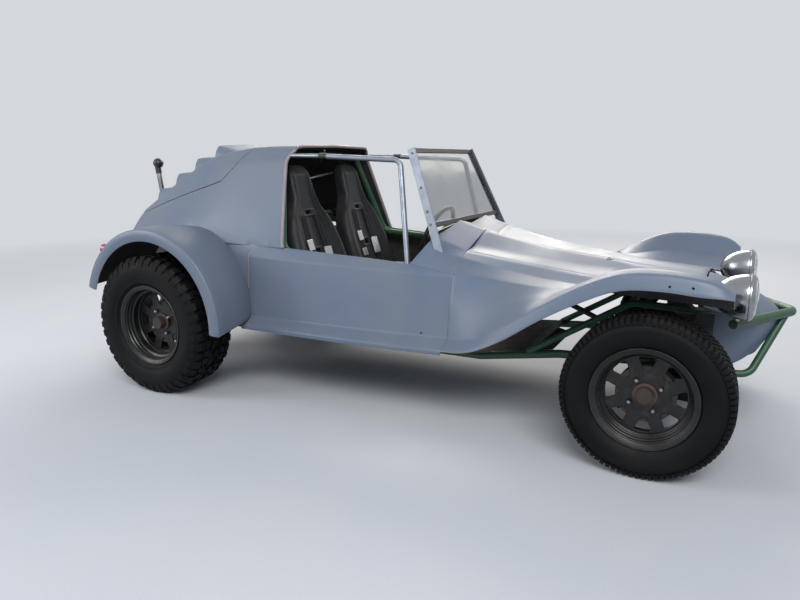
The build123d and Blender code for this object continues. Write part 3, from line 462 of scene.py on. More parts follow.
def softened(node, material):
    """A merged copy of a node with rounded edges, which stands for it."""
    mesh = NODES[node].data.copy()
    mesh.materials.clear()
    form = bmesh.new()
    form.from_mesh(mesh)
    bmesh.ops.remove_doubles(form, verts=form.verts, dist=0.00002)
    bmesh.ops.dissolve_limit(
        form, angle_limit=math.radians(0.4), verts=form.verts, edges=form.edges, delimit=set(),
    )
    form.to_mesh(mesh)
    form.free()
    smoothed(mesh).set_sharp_from_angle(angle=math.radians(NODE_SHARP))
    piece = link(f"{node}_finished", mesh, BODY_OF[node], material)
    bevelled(piece, EDGE, NODE_SHARP).harden_normals = True
    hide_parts(node)


# Body skins: tables in millimetres, x from the front axle or from the rear axle where it says so
MM = 0.001
SKIN = 0.006
LOUVRE_WALL = 0.004

# columns: x, edge y, edge z, foot y, foot z, bulge y, bulge z, middle z
HOOD = (
    (-840, 400, 782, 325, 795, 165, 858, 818),
    (-560, 384, 743, 292, 750, 145, 792, 768),
    (-280, 368, 706, 240, 712, 122, 752, 734),
    (-110, 356, 684, 205, 692, 108, 722, 714),
    (150, 337, 664, 170, 674, 90, 692, 690),
)
# columns: x, hem y, hem z, wall y, wall z, edge y, edge z, bulge y, bulge z, middle z
COWL = (
    (-1120, 528, 729, 478, 800, 440, 872, 200, 938, 915),
    (-980, 545, 714, 476, 784, 422, 832, 185, 902, 872),
    (-840, 562, 698, 470, 760, 400, 782, 165, 858, 818),
)
# x and z in metres of what is cut from the cowl behind the windscreen
COWL_CUT = ((-1.106, 0.66), (-0.977, 0.874), (-0.940, 0.97), (-1.20, 0.97), (-1.20, 0.66))
# columns: x, edge y, edge z, dish y, dish z, shoulder y, shoulder z, crest y, crest z, rim y, rim z,
# lip y, lip z
FRONT_FENDER = (
    (-840, 400, 782, 470, 760, 562, 698, 598, 570, 624, 422, 700, 382),
    (-700, 392, 762, 468, 733, 562, 688, 626, 570, 690, 448, 735, 406),
    (-550, 384, 742, 467, 706, 562, 679, 648, 612, 736, 530, 757, 478),
    (-400, 376, 721, 466, 686, 560, 672, 660, 652, 744, 632, 762, 578),
    (-250, 366, 702, 464, 666, 562, 682, 668, 733, 746, 724, 764, 662),
    (-110, 356, 684, 462, 650, 574, 706, 676, 796, 746, 778, 765, 722),
    (30, 347, 674, 460, 642, 578, 708, 680, 807, 746, 789, 765, 733),
    (160, 336, 664, 458, 636, 576, 694, 676, 793, 744, 780, 763, 724),
    (225, 331, 658, 456, 632, 570, 680, 668, 770, 736, 762, 756, 722),
    (270, 327, 654, 454, 630, 562, 662, 652, 730, 722, 730, 740, 718),
)
# x from the rear axle, also for the front rows; columns: x, top y, top z, shoulder y, shoulder z,
# sill y, sill z, lip y, lip z, hem y, hem z
BODY_SIDE = (
    (1560, 556, 701, 566, 690, 624, 422, 700, 382, 697, 362),
    (1280, 530, 728, 572, 694, 628, 414, 706, 379, 703, 357),
    (900, 538, 748, 584, 700, 632, 410, 706, 376, 703, 354),
    (450, 590, 776, 610, 712, 636, 408, 700, 376, 697, 354),
)
# x from the rear axle; columns: x, base y, base z, eave y, eave z, roof y, roof z, middle z
CABIN = (
    (800, 560, 758, 412, 1200, 345, 1264, 1268),
    (300, 600, 774, 405, 1190, 335, 1262, 1270),
    (-50, 586, 796, 372, 1110, 305, 1208, 1216),
    (-320, 540, 780, 350, 1010, 285, 1088, 1096),
    (-650, 445, 715, 328, 850, 262, 911, 919),
)
# columns: y, centre x from the rear axle, centre z, radius
HEM_ROLL = 0.034
REAR_FENDER = ((550, 36, 440, 406), (740, 48, 424, 446), (920, 50, 402, 462))
SEAM = ((300, 1262), (250, 1220), (188, 1148), (126, 1086), (-617, 888), (-800, 839))
OPENING = ((690, 680), (636, 764), (560, 1200), (598, 1262), (598, 1400), (830, 1400), (830, 680))
ROOF_FRONT = 0.598


def rounded(points, radii, fine=4):
    """A line whose corners are rounded, with the same number of points whatever its shape."""
    runs = [[Vector(points[0])]]
    for before, corner, after, radius in zip(points, points[1:], points[2:], radii):
        before, corner, after = Vector(before), Vector(corner), Vector(after)
        back, ahead = (before - corner), (after - corner)
        reach = 0.48 * min(back.length, ahead.length)
        turn = math.pi - back.angle(ahead, math.pi)
        cut = min(reach, radius * math.tan(turn / 2)) if turn > 0.001 else min(reach, radius * 0.1)
        cut = max(cut, min(reach, 0.006))
        first, last = corner + back.normalized() * cut, corner + ahead.normalized() * cut
        runs.append([
            (1 - t) ** 2 * first + 2 * t * (1 - t) * corner + t**2 * last
            for t in (k / fine for k in range(fine + 1))
        ])
    runs.append([Vector(points[-1])])
    line = list(runs[0])
    for here, there in zip(runs, runs[1:]):
        line += [here[-1].lerp(there[0], 1 / 3), here[-1].lerp(there[0], 2 / 3), *there]
    return line


def through(values, t):
    """The value at t on a smooth curve through the values, which are a step apart."""
    index = min(int(t), len(values) - 2)
    s = t - index
    a, b = values[index], values[index + 1]
    before = values[index - 1] if index else a + (a - b)
    after = values[index + 2] if index + 2 < len(values) else b + (b - a)
    return 0.5 * (
        2 * a + (b - before) * s + (2 * before - 5 * a + 4 * b - after) * s**2
        + (3 * a - before - 3 * b + after) * s**3
    )


def between(rows, x):
    """The other columns of a table at x, whose rows run rearward."""
    for here, there in zip(rows, rows[1:]):
        if there[0] <= x <= here[0]:
            t = (here[0] - x) / (here[0] - there[0])
            return [a + (b - a) * t for a, b in zip(here[1:], there[1:])]
    return rows[-1][1:]


def grid_form(grid):
    """A sheet of faces over rows of points."""
    form = bmesh.new()
    rows = [[form.verts.new(point) for point in row] for row in grid]
    for here, there in zip(rows, rows[1:]):
        for index in range(len(here) - 1):
            form.faces.new((here[index], there[index], there[index + 1], here[index + 1]))
    return form


def lofted(rows, start_x, radii, side=-1, fine=4, steps=8, mirror_half=False):
    """A smooth skin through the rows of a table, one side of it or the whole width."""
    lines = []
    for row in rows:
        pairs = [(y * MM, z * MM) for y, z in zip(row[1::2], row[2::2])]
        if mirror_half:
            middle = (0.0, row[-1] * MM)
            pairs = pairs + [middle] + [(-y, z) for y, z in reversed(pairs)]
        flat = rounded(pairs, radii, fine)
        lines.append([
            Vector(((start_x + row[0] * MM), point[0] * (-side if mirror_half else side), point[1]))
            for point in flat
        ])
    grid = []
    total = (len(rows) - 1) * steps
    for step in range(total + 1):
        t = step / steps
        grid.append([through([line[k] for line in lines], t) for k in range(len(lines[0]))])
    return grid


def cut_out(form, outline, keep_inside=False):
    """Cuts an outline in side view through a sheet; outline is (x, z) points."""
    for (x1, z1), (x2, z2) in zip(outline, outline[1:] + outline[:1]):
        bmesh.ops.bisect_plane(
            form, geom=form.verts[:] + form.edges[:] + form.faces[:],
            plane_co=(x1, 0, z1), plane_no=(z2 - z1, 0, x1 - x2), dist=0.000001,
        )

    def inside(x, z):
        crossings = 0
        for (x1, z1), (x2, z2) in zip(outline, outline[1:] + outline[:1]):
            if (z1 > z) != (z2 > z) and x < x1 + (z - z1) * (x2 - x1) / (z2 - z1):
                crossings += 1
        return crossings % 2 == 1

    doomed = [f for f in form.faces if inside(*f.calc_center_median().xz) != keep_inside]
    bmesh.ops.delete(form, geom=doomed, context="FACES")


def corners_rounded(outline, radius, fine=5):
    """A closed outline with each corner rounded."""
    made = []
    count = len(outline)
    for index in range(count):
        before, corner, after = (Vector(outline[(index + k) % count]) for k in (-1, 0, 1))
        back, ahead = before - corner, after - corner
        reach = min(radius, 0.45 * back.length, 0.45 * ahead.length)
        first, last = corner + back.normalized() * reach, corner + ahead.normalized() * reach
        for step in range(fine + 1):
            t = step / fine
            point = (1 - t) ** 2 * first + 2 * t * (1 - t) * corner + t**2 * last
            made.append((point.x, point.y))
    return made


def skin_piece(name, form, body, nodes, outward, wall=SKIN):
    """A finished panel of even thickness with softened edges, its underside in another finish."""
    bmesh.ops.remove_doubles(form, verts=form.verts, dist=0.00005)
    form.normal_update()
    centre_face = max(form.faces, key=lambda f: f.calc_area())
    if centre_face.normal.dot(outward(centre_face.calc_center_median())) < 0:
        bmesh.ops.reverse_faces(form, faces=form.faces)
    piece = link(name, mesh_of(form, name, True), body, PRIMER, UNDERSIDE_AND_SHADE, PRIMER_EDGE)
    shell = piece.modifiers.new("wall", "SOLIDIFY")
    shell.thickness = wall
    shell.offset = -1.0
    shell.material_offset = 1
    shell.material_offset_rim = 2
    bevelled(piece, EDGE, SKIN_SHARP)
    MADE_BY_HAND.update(nodes)
    if nodes:
        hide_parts(*nodes)
    SKINS[name] = piece
    return piece


def skin_tree(name):
    """A finished skin's faces, ready to be met by lines."""
    bpy.context.view_layer.update()
    return BVHTree.FromObject(SKINS[name], bpy.context.evaluated_depsgraph_get())


def skin_hit(name, start, ahead):
    """Where a line meets a finished skin, and the skin's normal there."""
    return skin_tree(name).ray_cast(Vector(start), Vector(ahead).normalized())[:2]


def evaluated(piece):
    """The mesh that a piece's modifiers make."""
    bpy.context.view_layer.update()
    return bpy.data.meshes.new_from_object(piece.evaluated_get(bpy.context.evaluated_depsgraph_get()))


def baked(piece):
    """Puts a piece's modifiers into its mesh."""
    made = evaluated(piece)
    piece.modifiers.clear()
    piece.data = made


def pattern_of(form, name):
    """A hidden pattern piece for a geometry tree, which isn't shown itself."""
    bmesh.ops.recalc_face_normals(form, faces=form.faces)
    return added(name, mesh_of(form, name))


def drop(*patterns):
    for piece in patterns:
        bpy.data.objects.remove(piece)


def up(_):
    return Vector((0, 0, 1))


def outward(point):
    return Vector((0, 1 if point.y > 0 else -1, 0.25))


def away_from_axle(point):
    return Vector((point.x - REAR_AXLE_X, 0, point.z - 0.40))


MADE_BY_HAND = set()
SKINS = {}


def make_hood():
    grid = lofted(HOOD, FRONT_AXLE_X, (0.30, 0.10, 0.05, 0.10, 0.30), steps=10, fine=6, mirror_half=True)
    skin_piece("hood_skin", grid_form(grid), "chassis", ["hood"], up)


def make_cowl():
    grid = lofted(
        COWL, FRONT_AXLE_X, (0.05, 0.06, 0.10, 0.10, 0.06, 0.10, 0.10, 0.06, 0.05), steps=10, fine=5,
        mirror_half=True,
    )
    form = grid_form(grid)
    cut_out(form, [(FRONT_AXLE_X + x, z) for x, z in COWL_CUT])
    skin_piece("cowl_skin", form, "chassis", ["cowl"], up)


def make_front_fender(side, name):
    grid = lofted(
        FRONT_FENDER, FRONT_AXLE_X, (0.08, 0.045, 0.055, 0.024, 0.010), side=side, steps=8, fine=5,
    )
    form = grid_form(grid)
    hood_end = FRONT_AXLE_X + HOOD[-1][0] * MM + 0.012
    middles = [(face, face.calc_center_median()) for face in form.faces]
    inner_strip = [face for face, middle in middles if middle.x > hood_end and abs(middle.y) < LAMP_Y]
    bmesh.ops.delete(form, geom=inner_strip, context="FACES")
    piece = skin_piece(f"front_fender_skin_{name}", form, "chassis", [f"front_fender_{name}"], outward)
    form = bmesh.new()
    rings = []
    for step in range(25):
        turn = math.pi / 2 * step / 24
        rings.append((max(NOTCH_RADIUS * math.sin(turn), 0.001), -NOTCH_LENGTH * math.cos(turn)))
    rings.append((NOTCH_RADIUS, 0.10))
    rows = [[form.verts.new((
        FRONT_AXLE_X + LAMP_AHEAD + back, side * LAMP_Y + reach * math.sin(math.pi * k / 24),
        LAMP_Z + reach * math.cos(math.pi * k / 24),
    )) for k in range(48)] for reach, back in rings]
    for here, there in zip(rows, rows[1:]):
        for k in range(48):
            form.faces.new((here[k], here[(k + 1) % 48], there[(k + 1) % 48], there[k]))
    form.faces.new(rows[0])
    form.faces.new(rows[-1])
    notch = pattern_of(form, f"lamp_notch_{name}")
    cut = piece.modifiers.new("notch", "BOOLEAN")
    cut.object = notch
    cut.solver = "EXACT"
    baked(piece)
    drop(notch)


def make_body_side(side, name):
    grid = lofted(BODY_SIDE, REAR_AXLE_X, (0.03, 0.016, 0.012, 0.0), side=side, steps=10, fine=5)
    form = grid_form(grid)
    skin_piece(f"body_side_skin_{name}", form, "chassis", [f"body_side_{name}"], outward)


def cabin_grid():
    return lofted(
        CABIN, REAR_AXLE_X, (0.16, 0.07, 0.30, 0.07, 0.16), steps=10, fine=5, mirror_half=True,
    )


def seam_outline(inset):
    x = REAR_AXLE_X
    first = SEAM[0]
    line = [(x + first[0] * MM + inset, 1.6), (x + first[0] * MM + inset, first[1] * MM)]
    line += [(x + a * MM + inset, b * MM - inset) for a, b in SEAM[1:]]
    return line + [(x - 0.9, 1.6)]


def make_cabin():
    form = grid_form(cabin_grid())
    outline = [(REAR_AXLE_X + a * MM, b * MM) for a, b in OPENING]
    cut_out(form, corners_rounded(outline, 0.055))
    cut_out(form, seam_outline(0.0045))
    skin_piece("cabin_skin", form, "chassis", ["cabin_shell"], lambda p: Vector((0, p.y * 2, 1)))


def make_lid():
    form = grid_form(cabin_grid())
    cut_out(form, seam_outline(0.0), keep_inside=True)
    skin_piece("lid_skin", form, "engine_lid", ["engine_lid"], lambda p: Vector((0, p.y * 2, 1)))


def make_rear_fender(side, name):
    start, end, turns = math.radians(-4.0), math.radians(162.0), 56
    rings = [tuple(value * MM for value in row) for row in REAR_FENDER]
    across = []
    for step in range(9):
        t = step / 8 * (len(rings) - 1)
        across.append(tuple(through([Vector(ring) for ring in rings], t)))
    grid = []
    for turn in range(turns + 1):
        angle = start + (end - start) * turn / turns
        row = []
        for y, x, z, radius in across:
            row.append(Vector((
                REAR_AXLE_X + x + radius * math.cos(angle), side * y, z + radius * math.sin(angle),
            )))
        y, x, z, radius = across[-1]
        hem = []
        for step in range(1, 7):
            bend = math.radians(90 * step / 6)
            hem.append((radius - HEM_ROLL + HEM_ROLL * math.cos(bend), y + HEM_ROLL * 0.35 * math.sin(bend)))
        hem.append((radius - 0.060, y + 0.006))
        row += [Vector((
            REAR_AXLE_X + x + r * math.cos(angle), side * out, z + r * math.sin(angle),
        )) for r, out in hem]
        grid.append(row)
    skin_piece(
        f"rear_fender_skin_{name}", grid_form(grid), "chassis", [f"rear_fender_{name}"], away_from_axle,
    )


make_hood()
make_cowl()
make_cabin()
make_lid()
for side, name in SIDES:
    make_front_fender(side, name)
    make_body_side(side, name)
    make_rear_fender(side, name)


# Geometry trees for what repeats
class Shapes(Wiring):
    """The same wiring, for a geometry tree that ends in real faces and one material."""

    def end(self, geometry, material):
        real = self.add("GeometryNodeRealizeInstances")
        self.put(real.inputs[0], geometry)
        paint = self.add("GeometryNodeSetMaterial")
        self.put(paint.inputs["Geometry"], real.outputs[0])
        self.put(paint.inputs["Material"], material)
        out = self.add("NodeGroupOutput")
        self.put(out.inputs["Geometry"], paint.outputs[0])


def shape_tree(name, inputs, build):
    tree = bpy.data.node_groups.new(name, "GeometryNodeTree")
    tree.interface.new_socket("Geometry", in_out="INPUT", socket_type="NodeSocketGeometry")
    for label, kind in inputs:
        tree.interface.new_socket(label, in_out="INPUT", socket_type=kind)
    tree.interface.new_socket("Geometry", in_out="OUTPUT", socket_type="NodeSocketGeometry")
    wires = Shapes(tree)
    build(wires, wires.add("NodeGroupInput").outputs)
    return tree


def build_ring(wires, given):
    """One pattern piece turned round an axle as often as it is counted."""
    points = wires.add("GeometryNodeMeshLine")
    wires.put(points.inputs["Count"], given["Count"])
    points.inputs["Offset"].default_value = (0.0, 0.0, 0.0)
    pattern = wires.add("GeometryNodeObjectInfo")
    wires.put(pattern.inputs["Object"], given["Pattern"])
    step = wires.math("DIVIDE", 2 * math.pi, given["Count"])
    index = wires.add("GeometryNodeInputIndex").outputs[0]
    turn = wires.math("ADD", wires.math("MULTIPLY", index, step), given["Start"])
    about = wires.add("ShaderNodeCombineXYZ")
    wires.put(about.inputs[1], turn)
    copies = wires.add("GeometryNodeInstanceOnPoints")
    wires.put(copies.inputs["Points"], points.outputs[0])
    wires.put(copies.inputs["Instance"], pattern.outputs["Geometry"])
    wires.put(copies.inputs["Rotation"], about.outputs[0])
    moved = wires.add("GeometryNodeTransform")
    wires.put(moved.inputs["Geometry"], copies.outputs[0])
    wires.put(moved.inputs["Translation"], given["Centre"])
    wires.end(moved.outputs[0], given["Material"])


RING = shape_tree(
    "ring_of_pieces",
    [
        ("Pattern", "NodeSocketObject"), ("Count", "NodeSocketInt"), ("Start", "NodeSocketFloat"),
        ("Centre", "NodeSocketVector"), ("Material", "NodeSocketMaterial"),
    ],
    build_ring,
)


def build_row(wires, given):
    """One pattern piece repeated along a straight run."""
    points = wires.add("GeometryNodeMeshLine")
    wires.put(points.inputs["Count"], given["Count"])
    wires.put(points.inputs["Start Location"], given["Start"])
    wires.put(points.inputs["Offset"], given["Step"])
    pattern = wires.add("GeometryNodeObjectInfo")
    wires.put(pattern.inputs["Object"], given["Pattern"])
    copies = wires.add("GeometryNodeInstanceOnPoints")
    wires.put(copies.inputs["Points"], points.outputs[0])
    wires.put(copies.inputs["Instance"], pattern.outputs["Geometry"])
    wires.end(copies.outputs[0], given["Material"])


ROW = shape_tree(
    "row_of_pieces",
    [
        ("Pattern", "NodeSocketObject"), ("Count", "NodeSocketInt"), ("Start", "NodeSocketVector"),
        ("Step", "NodeSocketVector"), ("Material", "NodeSocketMaterial"),
    ],
    build_row,
)


def build_bead(wires, given):
    """A round bead along a path."""
    path = wires.add("GeometryNodeObjectInfo")
    wires.put(path.inputs["Object"], given["Path"])
    across = wires.add("GeometryNodeCurvePrimitiveCircle")
    wires.put(across.inputs["Resolution"], given["Sides"])
    wires.put(across.inputs["Radius"], given["Radius"])
    swept = wires.add("GeometryNodeCurveToMesh")
    wires.put(swept.inputs["Curve"], path.outputs["Geometry"])
    wires.put(swept.inputs["Profile Curve"], across.outputs[0])
    swept.inputs["Fill Caps"].default_value = True
    smooth = wires.add("GeometryNodeSetShadeSmooth")
    wires.put(smooth.inputs[0], swept.outputs[0])
    wires.end(smooth.outputs[0], given["Material"])


BEAD = shape_tree(
    "bead_along_path",
    [
        ("Path", "NodeSocketObject"), ("Radius", "NodeSocketFloat"), ("Sides", "NodeSocketInt"),
        ("Material", "NodeSocketMaterial"),
    ],
    build_bead,
)


def grown(tree, name, body, **values):
    """The plain mesh that a geometry tree makes, riding on a body."""
    carrier = added(name, bpy.data.meshes.new(name))
    modifier = carrier.modifiers.new("shape", "NODES")
    modifier.node_group = tree
    named = {item.name: item.identifier for item in tree.interface.items_tree if item.in_out == "INPUT"}
    for label, value in values.items():
        modifier[named[label]] = value
    carrier.update_tag()
    made = evaluated(carrier)
    carrier.modifiers.remove(modifier)
    carrier.data = made
    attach(carrier, body)
    return carrier


def path_of(name, points):
    curve = bpy.data.curves.new(name, "CURVE")
    curve.dimensions = "3D"
    spline = curve.splines.new("POLY")
    spline.points.add(len(points) - 1)
    for place, point in zip(spline.points, points):
        place.co = (*point, 1.0)
    return added(name, curve)


def bead(name, points, radius, body, material, sides=10):
    path = path_of(f"{name}_path", points)
    piece = grown(BEAD, name, body, Path=path, Radius=radius, Sides=sides, Material=material)
    drop(path)
    return piece


# Seal: a dark cord behind the gap round the lid
for side, name in SIDES:
    spots = []
    for (x1, z1), (x2, z2) in zip(SEAM, SEAM[1:]):
        for step in range(16):
            x, z = (a + (b - a) * step / 16 for a, b in ((x1, x2), (z1, z2)))
            start = Vector((REAR_AXLE_X + x * MM + 0.006, side * 1.2, z * MM - 0.004))
            spot, normal = skin_hit("cabin_skin", start, (0, -side, 0))
            if spot and spot.y * side > 0.2:
                spots.append(spot - normal * 0.0145)
    bead(f"lid_seal_{name}", spots, 0.0075, "chassis", BLACK_TRIM, 10)

# Louvres: each is a thin hood open to the rear, on the lid's flat top, with a dark card of painted shade
# standing in its opening
LOUVRES = 4
LOUVRE_PITCH = 0.175
LOUVRE_REST = 0.012
LOUVRE_SHARE = 0.955
LOUVRE_RISE = 0.066
LOUVRE_FIRST = 0.135
SHADE_SHARE, SHADE_RISE, SHADE_IN = 0.80, 0.70, 0.03


def tail_top(x):
    """The half width and height of the tail's top at a place measured from the rear axle, in metres."""
    return between([(row[0] * MM, row[5] * MM, row[6] * MM) for row in CABIN], x)


def louvre(number, lid):
    tip = LOUVRE_FIRST - LOUVRE_PITCH * (number + 1)
    root = tip + LOUVRE_PITCH - LOUVRE_REST
    form = bmesh.new()
    rows = []
    for step in range(11):
        t = step / 10
        x = root + (tip - root) * t
        half, base = tail_top(x)
        row = []
        for across in range(-16, 17):
            s = across / 16
            crown = 1.0 - max(0.0, (abs(s) - 0.84) / 0.16) ** 2.2
            place = Vector((REAR_AXLE_X + x, s * half * LOUVRE_SHARE, 2.0))
            hit = lid.ray_cast(place, Vector((0, 0, -1)))[0]
            place.z = (hit.z if hit else base) + 0.002 - 0.010 * s**6 + LOUVRE_RISE * t**1.1 * crown
            row.append(form.verts.new(place))
        rows.append(row)
    for here, there in zip(rows, rows[1:]):
        for index in range(len(here) - 1):
            form.faces.new((here[index], here[index + 1], there[index + 1], there[index]))
    skin_piece(f"louvre_{number}", form, "engine_lid", [], up, LOUVRE_WALL)
    # A flat dark card just inside the louvre's open end is painted shade
    half, base = tail_top(tip + SHADE_IN)
    wide, high = half * SHADE_SHARE, LOUVRE_RISE * SHADE_RISE
    corners = [
        Vector((REAR_AXLE_X + tip + SHADE_IN, y, base + z))
        for y, z in ((-wide, 0.004), (wide, 0.004), (wide, high), (-wide, high))
    ]
    shade = bmesh.new()
    shade.faces.new([shade.verts.new(corner) for corner in corners])
    link(f"louvre_dark_{number}", mesh_of(shade, f"louvre_dark_{number}"), "engine_lid", UNDERSIDE_AND_SHADE)


LID_TREE = skin_tree("lid_skin")
for number in range(LOUVRES):
    louvre(number, LID_TREE)


# Wheels: every place is from the wheel's middle, with y outboard on the left
def revolved(name, profile, centre, body, material, side=1, steps=96, closed=True):
    """A profile of (radius, y) points turned round an axle along Y."""
    form = bmesh.new()
    rings = []
    for step in range(steps):
        angle = 2 * math.pi * step / steps
        rings.append([
            form.verts.new((
                centre[0] + radius * math.sin(angle), centre[1] + side * across,
                centre[2] + radius * math.cos(angle),
            ))
            for radius, across in profile
        ])
    count = len(profile)
    for step in range(steps):
        here, there = rings[step], rings[(step + 1) % steps]
        for index in range(count if closed else count - 1):
            after = (index + 1) % count
            form.faces.new((here[index], here[after], there[after], there[index]))
    bmesh.ops.remove_doubles(form, verts=form.verts, dist=0.00001)
    bmesh.ops.recalc_face_normals(form, faces=form.faces)
    mesh = mesh_of(form, name, True)
    mesh.set_sharp_from_angle(angle=math.radians(TURNED_SHARP))
    return link(name, mesh, body, material)


def arc_points(start, middle, end, count):
    """Points on the arc through three places, its ends included."""
    (ax, ay), (bx, by), (cx, cy) = start, middle, end
    d = 2 * (ax * (by - cy) + bx * (cy - ay) + cx * (ay - by))
    ux = ((ax**2 + ay**2) * (by - cy) + (bx**2 + by**2) * (cy - ay) + (cx**2 + cy**2) * (ay - by)) / d
    uy = ((ax**2 + ay**2) * (cx - bx) + (bx**2 + by**2) * (ax - cx) + (cx**2 + cy**2) * (bx - ax)) / d
    radius = math.hypot(ax - ux, ay - uy)
    first, mid, last = (math.atan2(y - uy, x - ux) for x, y in (start, middle, end))
    full = 2 * math.pi
    sweep = (last - first) % full
    if (mid - first) % full > sweep:
        sweep -= full
    return [
        (ux + radius * math.cos(first + sweep * i / count), uy + radius * math.sin(first + sweep * i / count))
        for i in range(count + 1)
    ]


def tread_block(form, corners, angles, base, top_of, taper, skew):
    """A block of tread between two y and two angles, its top following the crown."""
    y0, y1 = corners
    a0, a1 = angles
    inner = (y1 - y0) * taper
    grid = []
    for level in (0, 1):
        rows = []
        for along in range(3):
            t = along / 2
            row = []
            for across in range(3):
                s = across / 2
                y = (y0 + inner * level / 2) + (y1 - y0 - inner * level) * s
                lean = skew * (s - 0.5)
                shrink = (a1 - a0) * taper / 2 * level
                a = a0 + shrink + (a1 - a0 - 2 * shrink) * t + lean
                radius = top_of(y) if level else base(y)
                row.append(form.verts.new((radius * math.sin(a), y, radius * math.cos(a))))
            rows.append(row)
        grid.append(rows)
    low, high = grid
    for i in range(2):
        for j in range(2):
            form.faces.new((high[i][j], high[i][j + 1], high[i + 1][j + 1], high[i + 1][j]))
            form.faces.new((low[i][j], low[i + 1][j], low[i + 1][j + 1], low[i][j + 1]))
    ring = [(0, 0), (0, 1), (0, 2), (1, 2), (2, 2), (2, 1), (2, 0), (1, 0)]
    for (i, j), (k, m) in zip(ring, ring[1:] + ring[:1]):
        form.faces.new((low[i][j], low[k][m], high[k][m], high[i][j]))


def tyre_body(name, side, centre, wheel):
    """The casing: beads, walls with raised rings, and the floor of the tread."""
    lip, rim = wheel.lip, wheel.width
    half = wheel.tyre_width / 2
    crown = wheel.height - wheel.tread
    middle = (lip + crown) / 2
    foot, top = (lip + 0.003, rim / 2 - 0.006), (crown - 0.014, half - 0.011)
    shaped = []
    for r, y in arc_points(foot, (middle, half - 0.001), top, 14):
        rise = 0.0
        for place, high in wheel.ribs:
            rise += high * math.exp(-((r - place) / 0.0022) ** 2)
        shaped.append((r, y + rise))
    tread = [(crown - 0.005, half - 0.017), (crown, half - 0.030)]
    outer = [(lip - 0.017, rim / 2 - 0.010), (lip - 0.003, rim / 2 - 0.0095)] + shaped + tread
    inner = [(r, -y) for r, y in reversed(outer)]
    body = f"{wheel.axle}_wheel_{name}"
    piece = revolved(f"{wheel.axle}_casing_{name}", outer + inner, centre, body, RUBBER, side, 144)
    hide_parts(f"{wheel.axle}_tyre_{name}")


def shoulder(radius, half, fall, reach):
    """The height of the tread over the width: nearly flat, and round at the shoulders."""
    def top(y):
        over = max(0.0, abs(y) - (half - reach)) / reach
        return radius - 0.0025 * (y / half) ** 2 - fall * over**2.2
    return top


# columns: y, y, two angles in pitches, taper, skew in pitches; the rows of one side, then those between
FRONT_BLOCKS = (
    (0.066, 0.0975, -0.40, 0.32, 0.10, 0.0), (0.030, 0.061, -0.10, 0.34, 0.14, 0.25),
    (0.034, 0.058, -0.56, -0.20, 0.14, -0.2),
)
FRONT_MIDDLE = ((-0.024, 0.003, -0.38, 0.10, 0.14, 0.3), (-0.002, 0.024, 0.20, 0.62, 0.14, 0.3))
REAR_BLOCKS = (
    (0.074, 0.1345, -0.30, 0.06, 0.10, 0.05), (0.086, 0.1320, 0.20, 0.52, 0.12, 0.05),
    (0.034, 0.070, -0.34, -0.02, 0.14, 0.16), (0.038, 0.078, 0.14, 0.44, 0.14, -0.16),
    (0.004, 0.029, -0.22, 0.16, 0.14, 0.12),
)


def both_sides(rows, late, turned):
    """Rows of blocks at the right and the left, the left ones later by a part of a pitch."""
    return [
        (*sorted((sign * y0, sign * y1)), a0 + wait, a1 + wait, taper, skew * sign if turned else skew)
        for sign, wait in ((-1, 0.0), (1, late)) for y0, y1, a0, a1, taper, skew in rows
    ]


def tread_pattern(name, wheel):
    """One pitch of a wheel's tread."""
    top = shoulder(wheel.height, wheel.tyre_width / 2, wheel.fall, wheel.reach)
    pitch = 2 * math.pi / wheel.pitches
    form = bmesh.new()
    for y0, y1, a0, a1, taper, skew in wheel.blocks:
        tread_block(
            form, (y0, y1), (a0 * pitch, a1 * pitch), lambda y: top(y) - wheel.tread - 0.003, top, taper,
            skew * pitch,
        )
    return pattern_of(form, name)


SPOKES = 8
SPOKE_WIDTH = 0.044
HUB_PLATE = 0.092
BORE = 0.033
BARREL_WALL = 0.004
HUB_RING = (
    (0.033, -0.010), (0.045, 0.001), (0.046, 0.006), (0.040, 0.010), (0.032, 0.008), (0.030, -0.002),
    (0.012, -0.003), (0.0, -0.003), (0.0, -0.010),
)
NUTS = 4
NUT_RING = 0.065
NUT_START = math.radians(90 - 30.7)

# height is the axle's above the ground, and the tyre's radius; lip_y and tyre_y are the places of the rim's
# lip and the tyre's middle; ribs are the wall's raised rings, as (radius, height)
Wheel = namedtuple(
    "Wheel",
    "axle x height lip_y lip width disc_depth rings tyre_y tyre_width tread ribs fall reach pitches start"
    " blocks",
)
WHEELS = (
    Wheel(
        axle="front", x=FRONT_AXLE_X, height=0.315, lip_y=0.735, lip=0.198, width=0.165, disc_depth=0.067,
        rings=4, tyre_y=0.6525, tyre_width=0.200, tread=0.0070,
        ribs=((0.206, 0.0018), (0.216, 0.0014), (0.268, 0.0016), (0.276, 0.0018), (0.284, 0.0018)),
        fall=0.017, reach=0.020, pitches=84, start=0.0,
        blocks=(*both_sides(FRONT_BLOCKS, 0.0, False), *FRONT_MIDDLE),
    ),
    Wheel(
        axle="rear", x=REAR_AXLE_X, height=0.362, lip_y=0.890, lip=0.209, width=0.220, disc_depth=0.095,
        rings=5, tyre_y=0.780, tyre_width=0.270, tread=0.0145,
        ribs=((0.226, 0.0045), (0.240, 0.0015), (0.300, 0.0020)),
        fall=0.034, reach=0.034, pitches=21, start=0.03, blocks=both_sides(REAR_BLOCKS, 0.5, True),
    ),
)


def loop_of(curve, points):
    spline = curve.splines.new("POLY")
    spline.points.add(len(points) - 1)
    for place, (x, y) in zip(spline.points, points):
        place.co = (x, y, 0.0, 1.0)
    spline.use_cyclic_u = True


def circle_of(radius, count=72):
    return [(radius * math.cos(2 * math.pi * i / count), radius * math.sin(2 * math.pi * i / count))
            for i in range(count)]


